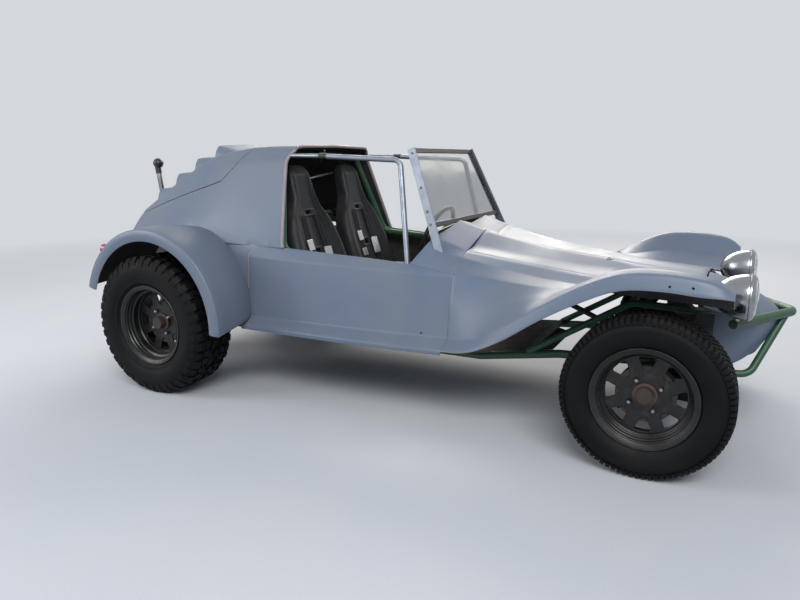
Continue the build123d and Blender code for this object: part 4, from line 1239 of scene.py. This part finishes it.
def plate(name, loops, thick, round_edge):
    """A flat plate with holes, as a mesh in X and Y, its middle at Z 0."""
    curve = bpy.data.curves.new(name, "CURVE")
    curve.dimensions = "2D"
    curve.fill_mode = "BOTH"
    curve.extrude = thick / 2 - round_edge
    curve.bevel_depth = round_edge
    curve.bevel_resolution = 1
    curve.offset = -round_edge
    for points in loops:
        loop_of(curve, points)
    carrier = bpy.data.objects.new(name, curve)
    mesh = bpy.data.meshes.new_from_object(carrier)
    bpy.data.objects.remove(carrier)
    return mesh


def spoked_disc(name, body, centre, side, outer):
    """The wheel's disc: eight flat spokes with open windows between, round a bored hub plate."""
    half = math.pi / SPOKES
    inner, edge = HUB_PLATE, outer - 0.007
    low = inner * math.sin(half) - SPOKE_WIDTH / 2 / math.cos(half)
    high = edge * math.sin(half) - SPOKE_WIDTH / 2 / math.cos(half)
    window = [
        (inner, -low), (edge * math.cos(half * 0.62), -high), (edge, 0.0),
        (edge * math.cos(half * 0.62), high), (inner, low),
    ]
    window = corners_rounded(window, 0.010, 4)
    loops = [circle_of(outer, 96), circle_of(BORE, 48)]
    for number in range(SPOKES):
        a = 2 * half * number
        loops.append([
            (x * math.cos(a) - y * math.sin(a), x * math.sin(a) + y * math.cos(a)) for x, y in window
        ])
    mesh = plate(name, loops, 0.006, 0.0012)
    mesh.transform(Matrix.Translation(centre) @ Matrix.Rotation(-side * math.pi / 2, 4, "X"))
    return link(name, mesh, body, RIM_BLACK)


def barrel(name, side, lip_face, wheel):
    """The wheel's barrel: rolled lips, bead seats and a well, with stepped rings on the face side."""
    lip, width, rings = wheel.lip, wheel.width, wheel.rings
    bead, well = lip - 0.0175, lip - 0.0395
    face = [
        (lip, -0.0010), (lip - 0.001, 0.0), (lip - 0.004, 0.0), (lip - 0.010, -0.003), (bead - 0.002, -0.007),
    ]
    start, end, steps = -0.009, -wheel.disc_depth + 0.004, rings * 10
    for index in range(steps + 1):
        t = index / steps
        drop_in = (bead - 0.005) + (well - BARREL_WALL - bead + 0.005) * t
        face.append((drop_in + 0.0016 * math.sin(2 * math.pi * rings * t), start + (end - start) * t))
    back = [
        (well - BARREL_WALL, 0.055 - width), (bead - BARREL_WALL, 0.041 - width),
        (bead - BARREL_WALL, 0.010 - width), (lip - 0.004, 0.0015 - width), (lip, 0.001 - width),
    ]
    seat = [
        (lip, 0.006 - width), (bead, 0.009 - width), (bead, 0.038 - width), (well, 0.052 - width),
        (well, -0.052), (bead, -0.038), (bead, -0.009), (lip, -0.006),
    ]
    body = f"{wheel.axle}_wheel_{name}"
    piece = revolved(f"{wheel.axle}_barrel_{name}", face + back + seat, lip_face, body, RIM_BLACK, side, 96)
    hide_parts(f"{wheel.axle}_rim_{name}")


def hub_ring(name, body, centre, side):
    """The rusted hub that shows in the bore, and the ring round it."""
    revolved(name, HUB_RING, centre, body, RUST, side, 48)


for side, name in SIDES:
    for wheel in WHEELS:
        axle, body = wheel.axle, f"{wheel.axle}_wheel_{name}"
        lip_face = Vector((wheel.x, side * wheel.lip_y, wheel.height))
        barrel(name, side, lip_face, wheel)
        disc = lip_face - Vector((0, side * (wheel.disc_depth + 0.003), 0))
        spoked_disc(f"{axle}_disc_{name}", body, disc, side, wheel.lip - 0.0412)
        hub_ring(f"{axle}_hub_ring_{name}", body, disc + Vector((0, side * 0.003, 0)), side)

for side, name in SIDES:
    for wheel in WHEELS:
        middle = Vector((wheel.x, side * wheel.tyre_y, wheel.height))
        tyre_body(name, side, middle, wheel)
        pattern = tread_pattern(f"{wheel.axle}_block_{name}", wheel)
        grown(
            RING, f"{wheel.axle}_tread_{name}", f"{wheel.axle}_wheel_{name}", Pattern=pattern,
            Count=wheel.pitches, Start=wheel.start, Centre=middle, Material=RUBBER,
        )
        drop(pattern)


def nut_pattern(name, across, height, ring, y):
    """A hexagon nut with a domed end, at a distance from the axle."""
    form = bmesh.new()
    corner = across / math.sqrt(3)
    low = [form.verts.new((corner * math.cos(a), y, ring + corner * math.sin(a)))
           for a in (math.pi / 3 * i for i in range(6))]
    side = 1 if y > 0 else -1
    high, dome = (
        [form.verts.new((v.co.x * part, y + side * rise, ring + (v.co.z - ring) * part)) for v in low]
        for part, rise in ((0.96, height * 0.7), (0.62, height))
    )
    form.faces.new(low)
    form.faces.new(dome)
    for i in range(6):
        j = (i + 1) % 6
        form.faces.new((low[i], low[j], high[j], high[i]))
        form.faces.new((high[i], high[j], dome[j], dome[i]))
    return pattern_of(form, name)


for side, name in SIDES:
    for wheel in WHEELS:
        nut = nut_pattern(f"nut_{wheel.axle}_{name}", 0.019, 0.018, NUT_RING, side * 0.0002)
        place = Vector((wheel.x, side * wheel.lip_y, wheel.height)) - Vector((0, side * wheel.disc_depth, 0))
        grown(
            RING, f"{wheel.axle}_wheel_nuts_{name}", f"{wheel.axle}_wheel_{name}", Pattern=nut, Count=NUTS,
            Start=NUT_START, Centre=place, Material=CHROME,
        )
        drop(nut)


# Seats: rows run from the head down the front, under the cushion and up the back
# columns: x from the rear axle, z, half width, wing
SEAT_ROWS = (
    (512, 1176, 54, 0), (534, 1166, 68, 4), (550, 1130, 84, 12), (562, 1070, 94, 16), (574, 1005, 100, 18),
    (586, 945, 128, 20), (604, 890, 168, 22), (626, 820, 196, 26), (656, 730, 210, 30), (686, 640, 212, 34),
    (714, 555, 213, 38), (748, 492, 213, 42), (810, 470, 213, 50), (900, 472, 213, 64), (1000, 482, 213, 66),
    (1100, 494, 212, 54), (1160, 494, 210, 28), (1184, 462, 208, 6), (1182, 400, 208, 0), (1172, 380, 206, 0),
    (700, 380, 206, 0), (664, 420, 208, 0), (628, 520, 211, 0), (598, 620, 212, 0), (572, 740, 208, 0),
    (548, 840, 186, 0), (530, 915, 146, 0), (516, 980, 108, 0), (500, 1050, 94, 0), (488, 1120, 84, 0),
    (486, 1160, 64, 0),
)
SEAT_FRONT_ROWS = 18
SEAT_ACROSS = 28
SEAT_MIDDLE_Y = 0.255
SEAT_VOXEL = 0.006
SEAT_SHIFT = -0.026
SEAT_SWELL = 0.007
COVER_CLOTH = {
    "quality": 4, "mass": 0.4, "tension_stiffness": 12.0, "compression_stiffness": 12.0,
    "bending_stiffness": 1.5, "use_pressure": True, "uniform_pressure_force": 4.0,
}
COVER_FRAMES = 20
BELT_WIDTH, BELT_THICK = 0.046, 0.0016
# places from the middle of the bar: x, z
BELT_OVER_BAR = ((0.0, -0.034), (-0.017, -0.020), (-0.018, 0.0), (0.0, 0.002), (0.05, 0.006), (0.11, 0.012))


def eased(value):
    value = min(1.0, max(0.0, value))
    return value * value * (3 - 2 * value)


def seat_form():
    """The seat as one closed form, its wings standing forward at both sides."""
    form = bmesh.new()
    count = len(SEAT_ROWS)
    columns = []
    for index in range(SEAT_ACROSS + 1):
        u = -1 + 2 * index / SEAT_ACROSS
        ring = []
        for number, (x, z, half, wing) in enumerate(SEAT_ROWS):
            before, after = SEAT_ROWS[number - 1], SEAT_ROWS[(number + 1) % count]
            along = Vector((after[0] - before[0], after[1] - before[1])).normalized()
            out = Vector((-along.y, along.x))
            lift = wing * eased((abs(u) - 0.52) / 0.36) - 10 * eased(1 - abs(u) / 0.5) * (wing > 20)
            tuck = 8 * eased((abs(u) - 0.9) / 0.1)
            move = lift - tuck
            ring.append(form.verts.new((
                REAR_AXLE_X + (x + out.x * move) * MM, half * u * MM, (z + out.y * move) * MM,
            )))
        columns.append(ring)
    for here, there in zip(columns, columns[1:]):
        for number in range(count):
            other = (number + 1) % count
            form.faces.new((here[number], here[other], there[other], there[number]))
    for ring in (columns[0], columns[-1]):
        front, back = ring[:SEAT_FRONT_ROWS], ring[:SEAT_FRONT_ROWS - 1:-1]
        i = j = 0
        while i < len(front) - 1 or j < len(back) - 1:
            front_next = (front[i + 1].co - back[j].co).length if i < len(front) - 1 else math.inf
            back_next = (back[j + 1].co - front[i].co).length if j < len(back) - 1 else math.inf
            if front_next <= back_next:
                form.faces.new((front[i], front[i + 1], back[j]))
                i += 1
            else:
                form.faces.new((front[i], back[j + 1], back[j]))
                j += 1
    bmesh.ops.recalc_face_normals(form, faces=form.faces)
    return form


def cushioned():
    """The seat's cover swollen by its stuffing, held to a small movement."""
    piece = pattern_of(seat_form(), "seat_stuffed")
    remesh = piece.modifiers.new("voxels", "REMESH")
    remesh.mode = "VOXEL"
    remesh.voxel_size = SEAT_VOXEL
    baked(piece)
    bpy.context.view_layer.update()
    rest = [v.co.copy() for v in piece.data.vertices]
    cloth = piece.modifiers.new("cover", "CLOTH")
    for label, value in COVER_CLOTH.items():
        setattr(cloth.settings, label, value)
    cloth.settings.effector_weights.gravity = 0.0
    cloth.collision_settings.use_collision = False
    cloth.collision_settings.use_self_collision = False
    cloth.point_cache.frame_start = 1
    cloth.point_cache.frame_end = COVER_FRAMES
    for number in range(COVER_FRAMES):
        scene.frame_set(number + 1)
    baked(piece)
    scene.frame_set(1)
    for vertex, start in zip(piece.data.vertices, rest):
        move = vertex.co - start
        if move.length > SEAT_SWELL:
            vertex.co = start + move.normalized() * SEAT_SWELL
    smooth = piece.modifiers.new("even", "SMOOTH")
    smooth.factor = 0.5
    smooth.iterations = 12
    baked(piece)
    mesh = piece.data
    drop(piece)
    return mesh


def on_seat(tree, x, y, z, lift):
    """The place on the front of the seat that faces a point, a little way off its cover."""
    start = Vector((REAR_AXLE_X + x + 0.30, y, z + 0.18))
    ahead = Vector((-0.857, 0.0, -0.515))
    hit, normal, _, _ = tree.ray_cast(start, ahead)
    return (hit + normal * lift, normal) if hit else (None, None)


def ribbon(name, points):
    """Flat webbing along points, its width sideways."""
    form = bmesh.new()
    rows = []
    for point in points:
        rows.append([
            form.verts.new(point + Vector((0, 1, 0)) * BELT_WIDTH * s) for s in (-0.5, -0.44, 0.0, 0.44, 0.5)
        ])
    for here, there in zip(rows, rows[1:]):
        for index in range(4):
            form.faces.new((here[index], here[index + 1], there[index + 1], there[index]))
    piece = link(name, mesh_of(form, name, True), "chassis", WEBBING)
    shell = piece.modifiers.new("thick", "SOLIDIFY")
    shell.thickness = BELT_THICK
    shell.offset = 0.0


def rectangle(half_width, half_height, radius):
    """A rectangle with rounded corners, its middle at 0."""
    corners = ((-1, -1), (1, -1), (1, 1), (-1, 1))
    return corners_rounded([(a * half_width, b * half_height) for a, b in corners], radius)


def bright_block(name, size, matrix, edge=0.002):
    """A small rounded block of bright metal on the belts."""
    form = bmesh.new()
    bmesh.ops.create_cube(form, size=1.0)
    bmesh.ops.scale(form, vec=size, verts=form.verts)
    bmesh.ops.bevel(
        form, geom=form.edges[:], offset=min(edge, min(size) * 0.45), segments=3, affect="EDGES", profile=0.5,
    )
    form.transform(matrix)
    link(name, mesh_of(form, name), "chassis", BUCKLE)


def facing(place, normal):
    """A matrix at a place with Z along a normal and Y as near up as it goes."""
    across = Vector((0, 0, 1)).cross(normal).normalized()
    upward = normal.cross(across)
    turn = Matrix((across, upward, normal)).transposed().to_4x4()
    return Matrix.Translation(place) @ turn


def line_on_seat(surface, steps, top, run, across, lift):
    """A line down the front of a seat from a top (x, z); across gives y at a share of the way and a height."""
    line = []
    for step in range(steps):
        t = step / (steps - 1)
        z = top[1] - run[1] * t
        spot, _ = on_seat(surface, top[0] + run[0] * t, across(t, z), z, lift)
        if spot:
            line.append(spot)
    return line


def seat_piping(label, surface, y, edge):
    line = line_on_seat(
        surface, 46, (0.545, 1.130), (0.20, 0.640),
        lambda t, z: y + edge * (0.062 + 0.052 * eased((1.0 - z) / 0.16)), 0.0012,
    )
    for _ in range(3):
        line = line[:1] + [(a + 2 * b + c) / 4 for a, b, c in zip(line, line[1:], line[2:])] + line[-1:]
    bead(f"seat_piping_{label}", line, 0.0022, "chassis", BLACK_TRIM)


def shoulder_belt(label, surface, y, edge):
    """A belt down the seat's front and over the harness bar, with its two adjusters."""
    ribbon(f"belt_{label}", line_on_seat(
        surface, 40, (0.615, 0.925), (0.12, 0.405), lambda t, z: y + edge * (0.062 + 0.02 * t), 0.0035,
    ))
    bar = Vector((REAR_AXLE_X + 0.420, y + edge * 0.060, 0.898))
    ribbon(f"belt_to_bar_{label}", [bar + Vector((ahead, 0, rise)) for ahead, rise in BELT_OVER_BAR])
    for z, tall in ((0.735 - 0.03 * edge, 0.060), (0.650, 0.045)):
        spot, normal = on_seat(surface, 0.66, y + edge * 0.072, z, 0.008)
        bright_block(f"belt_adjuster_{label}_{int(z * 100)}", (0.056, tall, 0.007), facing(spot, normal))


def seat_slot(label, surface, y, z, half_width, half_height):
    """A slot that the harness could pass, with its trim; its dark inside is a flat black plate of painted
    shade.
    """
    spot, normal = on_seat(surface, 0.62, y, z, 0.0008)
    inner = rectangle(half_width - 0.009, half_height - 0.009, 0.010)
    for stem, loops, thick, round_edge, sunk, material in (
        ("seat_slot", [rectangle(half_width, half_height, 0.014), inner], 0.006, 0.0015, 0.0, BLACK_TRIM),
        ("seat_slot_dark", [inner], 0.0012, 0.0002, 0.0006, PAINTED_SHADE_BLACK),
    ):
        mesh = plate(f"{stem}_{label}", loops, thick, round_edge)
        mesh.transform(facing(spot - normal * sunk, normal))
        link(f"{stem}_{label}", mesh, "chassis", material)


SEAT_MESH = cushioned()
for side, name in SIDES:
    y = side * SEAT_MIDDLE_Y
    mesh = SEAT_MESH.copy()
    mesh.transform(Matrix.Translation((SEAT_SHIFT, y, 0)))
    cover = link(f"seat_cover_{name}", smoothed(mesh), "chassis", SEAT_VINYL)
    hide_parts(f"seat_{name}")
    MADE_BY_HAND.add(f"seat_{name}")
    surface = surface_of(mesh)
    for edge in (-1, 1):
        seat_piping(f"{name}_{edge + 1}", surface, y, edge)
        shoulder_belt(f"{name}_{edge + 1}", surface, y, edge)
    spot, normal = on_seat(surface, 0.70, y, 0.545, 0.012)
    bright_block(f"belt_buckle_{name}", (0.066, 0.060, 0.018), facing(spot, normal), 0.006)
    seat_slot(f"{name}_neck", surface, y, 0.945, 0.060, 0.020)
    seat_slot(f"{name}_back", surface, y, 0.700, 0.055, 0.026)


# Side tubes of the cage, behind the opening's rear edge and along under the sill
SIDE_TUBE = ((0.500, 0.362, 1.208), (0.612, 0.531, 0.742), (1.230, 0.500, 0.706), (1.400, 0.420, 0.700))
for side, name in SIDES:
    corners = [(REAR_AXLE_X + x, side * y, z) for x, y, z in SIDE_TUBE]
    bead(f"cage_side_tube_{name}", rounded(corners, (0.07, 0.07), 8), 0.0175, "chassis", GREEN, 20)

# Each side bar's rear end is carried back to the roof by a clamp and a short tube
for side, name in SIDES:
    rear_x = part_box(f"side_bar_{name}")[0][0]
    end = [v.co for v in NODES[f"side_bar_{name}"].data.vertices if v.co.x < rear_x + 0.012]
    root = sum(end, Vector()) / len(end)
    back = Vector((REAR_AXLE_X + ROOF_FRONT - 0.030, root.y * 0.97, root.z + 0.004))
    tube = [root + Vector((0.010, 0, 0)), root.lerp(back, 0.5), back]
    bead(f"side_bar_root_{name}", tube, 0.0105, "chassis", ALLOY, 16)
    clamp = [root + Vector((0.030, 0, -0.0005)), root + Vector((-0.012, 0, 0.0))]
    bead(f"side_bar_clamp_{name}", clamp, 0.0150, "chassis", BLACK_TRIM, 16)

ROD_START = Vector((FRONT_AXLE_X - 1.98, -0.075, 1.0835))
ROD_END = Vector((FRONT_AXLE_X - 1.98, 0.225, 1.1165))
bead(
    "rod_behind_seats",
    [ROD_START.lerp(ROD_END, step / 23) + Vector((0, 0, 0.002 * (step % 2))) for step in range(24)],
    0.006, "chassis", BUCKLE,
)


# Headlamps: each is turned round an axis along X, its ring's rear edge at X 0
# columns: radius, x
LAMP_RING = [
    (0.090, -0.004), (0.0888, -0.002), (0.0888, 0.0), (0.0925, 0.0005), (0.094, 0.002), (0.094, 0.006),
    (0.0925, 0.009), (0.0900, 0.011), (0.0888, 0.015), (0.0860, 0.0185), (0.0835, 0.0195), (0.0820, 0.0185),
]
LAMP_BOWL = [
    (0.0815, 0.0145), (0.078, 0.004), (0.068, -0.014), (0.050, -0.030), (0.025, -0.040), (0.0, -0.042),
]
GLASS_RADIUS, GLASS_FOOT, GLASS_THICK = 0.0815, 0.0165, 0.0025


def spun(name, profile, centre, body, material, steps=64):
    """A closed profile of (radius, x) points turned round an axis along X."""
    piece = revolved(name, profile, (0.0, 0.0, 0.0), body, material, 1, steps)
    piece.data.transform(Matrix.Translation(centre) @ Matrix.Rotation(-math.pi / 2, 4, "Z"))
    return piece


def bullet(length, radius, count):
    return [(radius * math.sin(math.pi / 2 * i / count), -length * math.cos(math.pi / 2 * i / count))
            for i in range(count + 1)]


for side, name in SIDES:
    middle = Vector((FRONT_AXLE_X + LAMP_AHEAD, side * LAMP_Y, LAMP_Z))
    profile = bullet(0.128, 0.090, 24)[:-1] + LAMP_RING + LAMP_BOWL
    shell = spun(f"headlamp_shell_{name}", profile, middle, "chassis", CHROME)
    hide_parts(f"headlamp_{name}")
    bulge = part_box(f"headlamp_lens_{name}")[1][0] - middle.x
    outer = [(GLASS_RADIUS * math.sin(a), GLASS_FOOT + (bulge - GLASS_FOOT) * math.cos(a))
             for a in (math.pi / 2 * i / 10 for i in range(11))]
    inner = [(r * 0.985, x - GLASS_THICK) for r, x in reversed(outer)]
    lens = spun(f"headlamp_glass_{name}", outer + inner, middle, "chassis", LENS)
    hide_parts(f"headlamp_lens_{name}")
    post = bmesh.new()
    bmesh.ops.create_cone(
        post, cap_ends=True, segments=24, radius1=0.013, radius2=0.011, depth=0.050,
        matrix=Matrix.Translation(middle + Vector((-0.036, side * -0.019, -0.085))),
    )
    link(f"headlamp_post_{name}", mesh_of(post, "post"), "chassis", CHROME)


# Rear quarters: the skin between the body side and the fender's junction circle
# the body side's last shoulder, and how far its top and its sill are from there
QUARTER_Y, QUARTER_Z = 0.610, 0.712
TOP_IN, TOP_UP = 0.020, 0.064
SILL_OUT, SILL_DOWN = 0.026, 0.304


def base_height(x):
    """The height of the cabin's lower edge at a place measured from the rear axle."""
    return between([(row[0] * MM, row[2] * MM) for row in CABIN], x)[0]


for side, name in SIDES:
    _, centre_x, centre_z, radius = (value * MM for value in REAR_FENDER[0])
    grid = []
    for step in range(25):
        angle = math.radians(-3 + 76 * step / 24)
        x = centre_x + (radius - 0.004) * math.cos(angle) + 0.012 * (1 - step / 24)
        low = centre_z + (radius - 0.004) * math.sin(angle)
        top = base_height(x)
        row = []
        for part in range(9):
            z = low + (top + 0.004 - low) * part / 8
            if z > QUARTER_Z:
                wide = QUARTER_Y - TOP_IN * (z - QUARTER_Z) / TOP_UP
            else:
                wide = QUARTER_Y + SILL_OUT * (QUARTER_Z - z) / SILL_DOWN
            row.append(Vector((REAR_AXLE_X + x, side * (wide - 0.0015), z)))
        grid.append(row)
    skin_piece(f"rear_quarter_{name}", grid_form(grid), "chassis", [], outward)

# Opening's border: a sanded bead along the cut edge of the cabin skin
BORDER_RADIUS, BORDER_SUNK = 0.0085, 0.003
OPENING_MIDDLE = Vector((REAR_AXLE_X + 0.72, 0.95))
for side, name in SIDES:
    line = []
    for x, z in corners_rounded([(REAR_AXLE_X + a * MM, b * MM) for a, b in OPENING], 0.055, 8):
        place = Vector((x, z))
        place += (place - OPENING_MIDDLE).normalized() * 0.005
        if place.x < REAR_AXLE_X + 0.70 and 0.75 < place.y < 1.246:
            line.append(place)
    dense = []
    for a, b in zip(line, line[1:]):
        pieces = max(1, int((b - a).length / 0.02))
        dense += [a.lerp(b, k / pieces) for k in range(pieces)]
    dense.append(line[-1])
    spots = []
    for place in dense:
        spot, normal = skin_hit("cabin_skin", (place.x, side * 1.2, place.y), (0, -side, 0))
        if spot and spot.y * side > 0.2:
            spots.append(spot - normal * BORDER_SUNK)
    bead(f"opening_border_{name}", spots, BORDER_RADIUS, "chassis", PRIMER_EDGE, 12)

spots = []
for step in range(41):
    y = -0.352 + 0.704 * step / 40
    spot, normal = skin_hit("cabin_skin", (REAR_AXLE_X + ROOF_FRONT - 0.006, y, 1.6), (0, 0, -1))
    if spot:
        spots.append(spot - normal * BORDER_SUNK)
bead("roof_border", spots, BORDER_RADIUS, "chassis", PRIMER_EDGE, 12)

# Small fastener holes in the skins, drawn as flat black discs of painted shade, and the boss at each bulge's
# end
# columns: radius, height
BOSS = ((0.0, 0.0), (0.0, 0.0045), (0.008, 0.0042), (0.014, 0.0026), (0.019, 0.0))
SCREW = ((0.0, -0.001), (0.0072, -0.001), (0.0068, 0.0012), (0.0045, 0.0026), (0.0, 0.0030))


def stood(name, profile, spot, normal, material, steps):
    """A turned piece that stands on a surface."""
    piece = revolved(name, profile, (0, 0, 0), "chassis", material, 1, steps)
    piece.data.transform(Matrix.Translation(spot) @ normal.to_track_quat("Y", "Z").to_matrix().to_4x4())


# Each hole is a flat black disc on the skin: painted shade where a hole would look dark
def hole(label, spot, normal, radius):
    mesh = plate(label, [circle_of(radius, 24)], 0.0012, 0.0002)
    mesh.transform(facing(spot + normal * 0.0002, normal))
    link(label, mesh, "chassis", PAINTED_SHADE_BLACK)


for side, name in SIDES:
    for label, skin, x, z, radius in (
        (f"fender_hole_{name}_0", "front_fender", 0.063, 0.752, 0.0045),
        (f"fender_hole_{name}_1", "front_fender", 0.138, 0.752, 0.0045),
        (f"side_hole_{name}", "body_side", -0.966, 0.431, 0.004),
    ):
        spot, normal = skin_hit(f"{skin}_skin_{name}", (FRONT_AXLE_X + x, side * 1.2, z), (0, -side, 0))
        hole(label, spot, normal, radius)
    spot, normal = skin_hit("hood_skin", (FRONT_AXLE_X - 0.257, side * 0.118, 1.2), (0, 0, -1))
    stood(f"hood_boss_{name}", BOSS, spot - normal * 0.001, normal, PRIMER, 32)
    hole(f"hood_hole_{name}", spot + normal * 0.0038, normal, 0.005)

# Exhaust stinger that stands up behind the tail, with its black cap
STINGER_Y = -0.08
STINGER = ((-1.640, 0.470), (-1.812, 0.530), (-1.820, 0.900), (-1.858, 1.150))
CAP_RADIUS = 0.032
stem = [Vector((x, STINGER_Y, z)) for x, z in rounded(STINGER, (0.10, 0.10), 8)]
bead("exhaust_stinger", stem, 0.0155, "chassis", CHROME, 24)
collar = [Vector((-1.8525, STINGER_Y, 1.115)), Vector((-1.8600, STINGER_Y, 1.165))]
bead("exhaust_cap_stem", collar, 0.0185, "chassis", BLACK_TRIM, 24)
turns = [math.radians(15 * k - 75) for k in range(11)]
dome = [(CAP_RADIUS * math.cos(turn), CAP_RADIUS * math.sin(turn)) for turn in turns]
revolved(
    "exhaust_cap", [(0.0, -0.0335), *dome, (0.0, 0.0322)], (-1.8520, STINGER_Y, 1.180), "chassis",
    BLACK_TRIM, 1, 32,
)

# Engine dressing on the block's rear face: fins, pulley and muffler
ENGINE_BACK = -1.6475
FINS, FIN_STEP = 22, 0.011
# columns: radius, place along the axis
PULLEY = (
    (0.0, 0.0), (0.070, 0.0), (0.074, -0.004), (0.066, -0.012), (0.074, -0.020), (0.070, -0.024),
    (0.040, -0.024), (0.034, -0.016), (0.014, -0.016), (0.014, -0.030), (0.0, -0.030),
)
MUFFLER = (
    (0.0, -0.250), (0.030, -0.250), (0.044, -0.244), (0.050, -0.232), (0.050, 0.232), (0.044, 0.244),
    (0.030, 0.250), (0.0, 0.250),
)
MUFFLER_X, MUFFLER_Z = ENGINE_BACK - 0.062, 0.330
fin = bmesh.new()
bmesh.ops.create_cube(fin, size=1.0)
bmesh.ops.scale(fin, vec=(0.020, 0.003, 0.150), verts=fin.verts)
fin_piece = pattern_of(fin, "engine_fin")
for label, start in (("right", -0.290), ("left", 0.060)):
    grown(
        ROW, f"engine_fins_{label}", "chassis", Pattern=fin_piece, Count=FINS,
        Start=(ENGINE_BACK - 0.010, start, 0.250), Step=(0.0, FIN_STEP, 0.0), Material=CAST,
    )
drop(fin_piece)
spun("engine_pulley", PULLEY, (ENGINE_BACK, 0.0, 0.440), "chassis", CAST, 48)
revolved("muffler", MUFFLER, (MUFFLER_X, 0.0, MUFFLER_Z), "chassis", STEEL_ARM, 1, 40)
for side in (-1, 1):
    pipe = [
        (ENGINE_BACK + 0.02, side * 0.27, 0.22), (MUFFLER_X, side * 0.27, 0.22),
        (MUFFLER_X, side * 0.262, MUFFLER_Z), (MUFFLER_X, side * 0.238, MUFFLER_Z),
    ]
    bead(f"muffler_pipe_{side + 1}", rounded(pipe, (0.04, 0.04), 6), 0.019, "chassis", STEEL_ARM, 18)

# Screws through the pillar straps
for side, name in SIDES:
    foot = Vector((FRONT_AXLE_X - 0.994 - 0.004, 0.0, 0.884))
    top = Vector((FRONT_AXLE_X - 1.144 + 0.002, 0.0, 1.243))
    tree = surface_of(NODES[f"pillar_{name}"].data)
    for number, t in enumerate((0.04, 0.20, 0.50, 0.94)):
        place = foot.lerp(top, t)
        spot, normal = tree.ray_cast(Vector((place.x, side * 1.2, place.z)), Vector((0, -side, 0)))[:2]
        if spot:
            stood(f"pillar_screw_{name}_{number}", SCREW, spot, normal, CAST, 20)


FINISHES = {
    "cabin_shell": PRIMER, "engine_lid": PRIMER, "hood": PRIMER, "cowl": PRIMER, "tail_panel": PRIMER,
    "front_fender": PRIMER, "body_side": PRIMER, "rear_fender": PRIMER, "prow": PRIMER,
    "floor_pan": FLOOR_PAINT, "wheel_well": UNDERSIDE_AND_SHADE, "seat": SEAT_VINYL,
    "windscreen_frame": BLACK_TRIM, "windscreen_glass": WINDOW, "pillar": ALLOY, "side_bar": ALLOY,
    "chassis_frame": GREEN, "torsion_tube": GREEN, "roll_cage": GREEN, "front_beam": UNDERSIDE_AND_SHADE,
    "front_arms": STEEL_ARM, "knuckle": STEEL_ARM, "steering_links": STEEL_ARM, "dash": BLACK_TRIM,
    "steering_column": BLACK_TRIM, "steering_wheel": BLACK_TRIM, "bumper": GREEN,
    "headlamp_lens": LENS, "headlamp": CHROME, "transaxle": CAST, "engine": ENGINE_BLACK,
    "rear_axle": STEEL_ARM, "tail_lamps": RED_LENS,
    "front_rim": RIM_BLACK, "rear_rim": RIM_BLACK, "front_tyre": RUBBER, "rear_tyre": RUBBER,
    "front_drum": DRUM_IRON, "rear_drum": DRUM_IRON,
}


def finish_of(node):
    for stem in sorted(FINISHES, key=len, reverse=True):
        if node.startswith(stem):
            return FINISHES[stem]
    raise KeyError(node)


MADE_BY_HAND.update(
    f"{stem}_{name}" for _, name in SIDES
    for stem in ("front_tyre", "rear_tyre", "front_rim", "rear_rim", "headlamp", "headlamp_lens")
)
for node in sorted(NODES):
    if node not in MADE_BY_HAND:
        softened(node, finish_of(node))


# Stage
BACKDROP = (0.66, 0.68, 0.71)


def stage_floor():
    form = bmesh.new()
    bmesh.ops.create_grid(form, x_segments=1, y_segments=1, size=60.0)
    mesh = mesh_of(form, "floor")
    floor = added("floor", mesh)
    material, wires, shader = new_material("studio_floor")
    tone = placed(
        wires, MOTTLE, Base=(0.50, 0.52, 0.55), Second=(0.545, 0.55, 0.56), Cloud=0.5, Cloud_Scale=1.2,
        Speckle=0.04, Speckle_Scale=120.0,
    )
    wires.put(shader.inputs["Base Color"], tone["Color"])
    shader.inputs["Roughness"].default_value = 0.85
    place = wires.place()
    reach = wires.add("ShaderNodeVectorMath", operation="LENGTH")
    wires.put(reach.inputs[0], place)
    far = wires.steps(reach.outputs["Value"], 3.2, 8.5)
    fade = wires.math("MULTIPLY", far, wires.add("ShaderNodeLightPath").outputs["Is Camera Ray"])
    glow = wires.add("ShaderNodeEmission")
    wires.put(glow.inputs["Color"], BACKDROP)
    both = wires.add("ShaderNodeMixShader")
    wires.put(both.inputs[0], fade)
    wires.tree.links.new(shader.outputs[0], both.inputs[1])
    wires.tree.links.new(glow.outputs[0], both.inputs[2])
    wires.tree.links.new(both.outputs[0], wires.tree.nodes["Material Output"].inputs["Surface"])
    mesh.materials.append(material)


def lamp(name, place, aim, size, power, colour=(1.0, 1.0, 1.0)):
    data = bpy.data.lights.new(name, "AREA")
    data.shape = "RECTANGLE"
    data.size, data.size_y = size
    data.energy = power
    data.color = colour
    light = added(name, data)
    light.location = place
    light.rotation_euler = (Vector(aim) - Vector(place)).to_track_quat("-Z", "Y").to_euler()


def stage_world():
    world = bpy.data.worlds.new("studio")
    scene.world = world
    world.use_nodes = True
    wires = Wiring(world.node_tree)
    surface = world.node_tree.nodes["Background"]
    path = wires.add("ShaderNodeLightPath")
    seen = wires.math(
        "MAXIMUM", path.outputs["Is Camera Ray"],
        wires.math("MAXIMUM", path.outputs["Is Glossy Ray"], path.outputs["Is Transmission Ray"]),
    )
    wires.put(surface.inputs["Color"], wires.mix(seen, (0.36, 0.40, 0.47), BACKDROP))
    surface.inputs["Strength"].default_value = 1.0


stage_floor()
stage_world()
lamp("key", (3.5, -6.0, 6.0), (0.0, 0.0, 0.5), (5.0, 3.0), 520.0)
lamp("back", (-1.5, 5.5, 4.5), (0.2, 0.0, 0.7), (6.0, 2.5), 420.0, (1.0, 0.93, 0.84))
lamp("fill", (-5.0, -4.0, 3.0), (-0.5, 0.0, 0.6), (3.0, 3.0), 160.0)
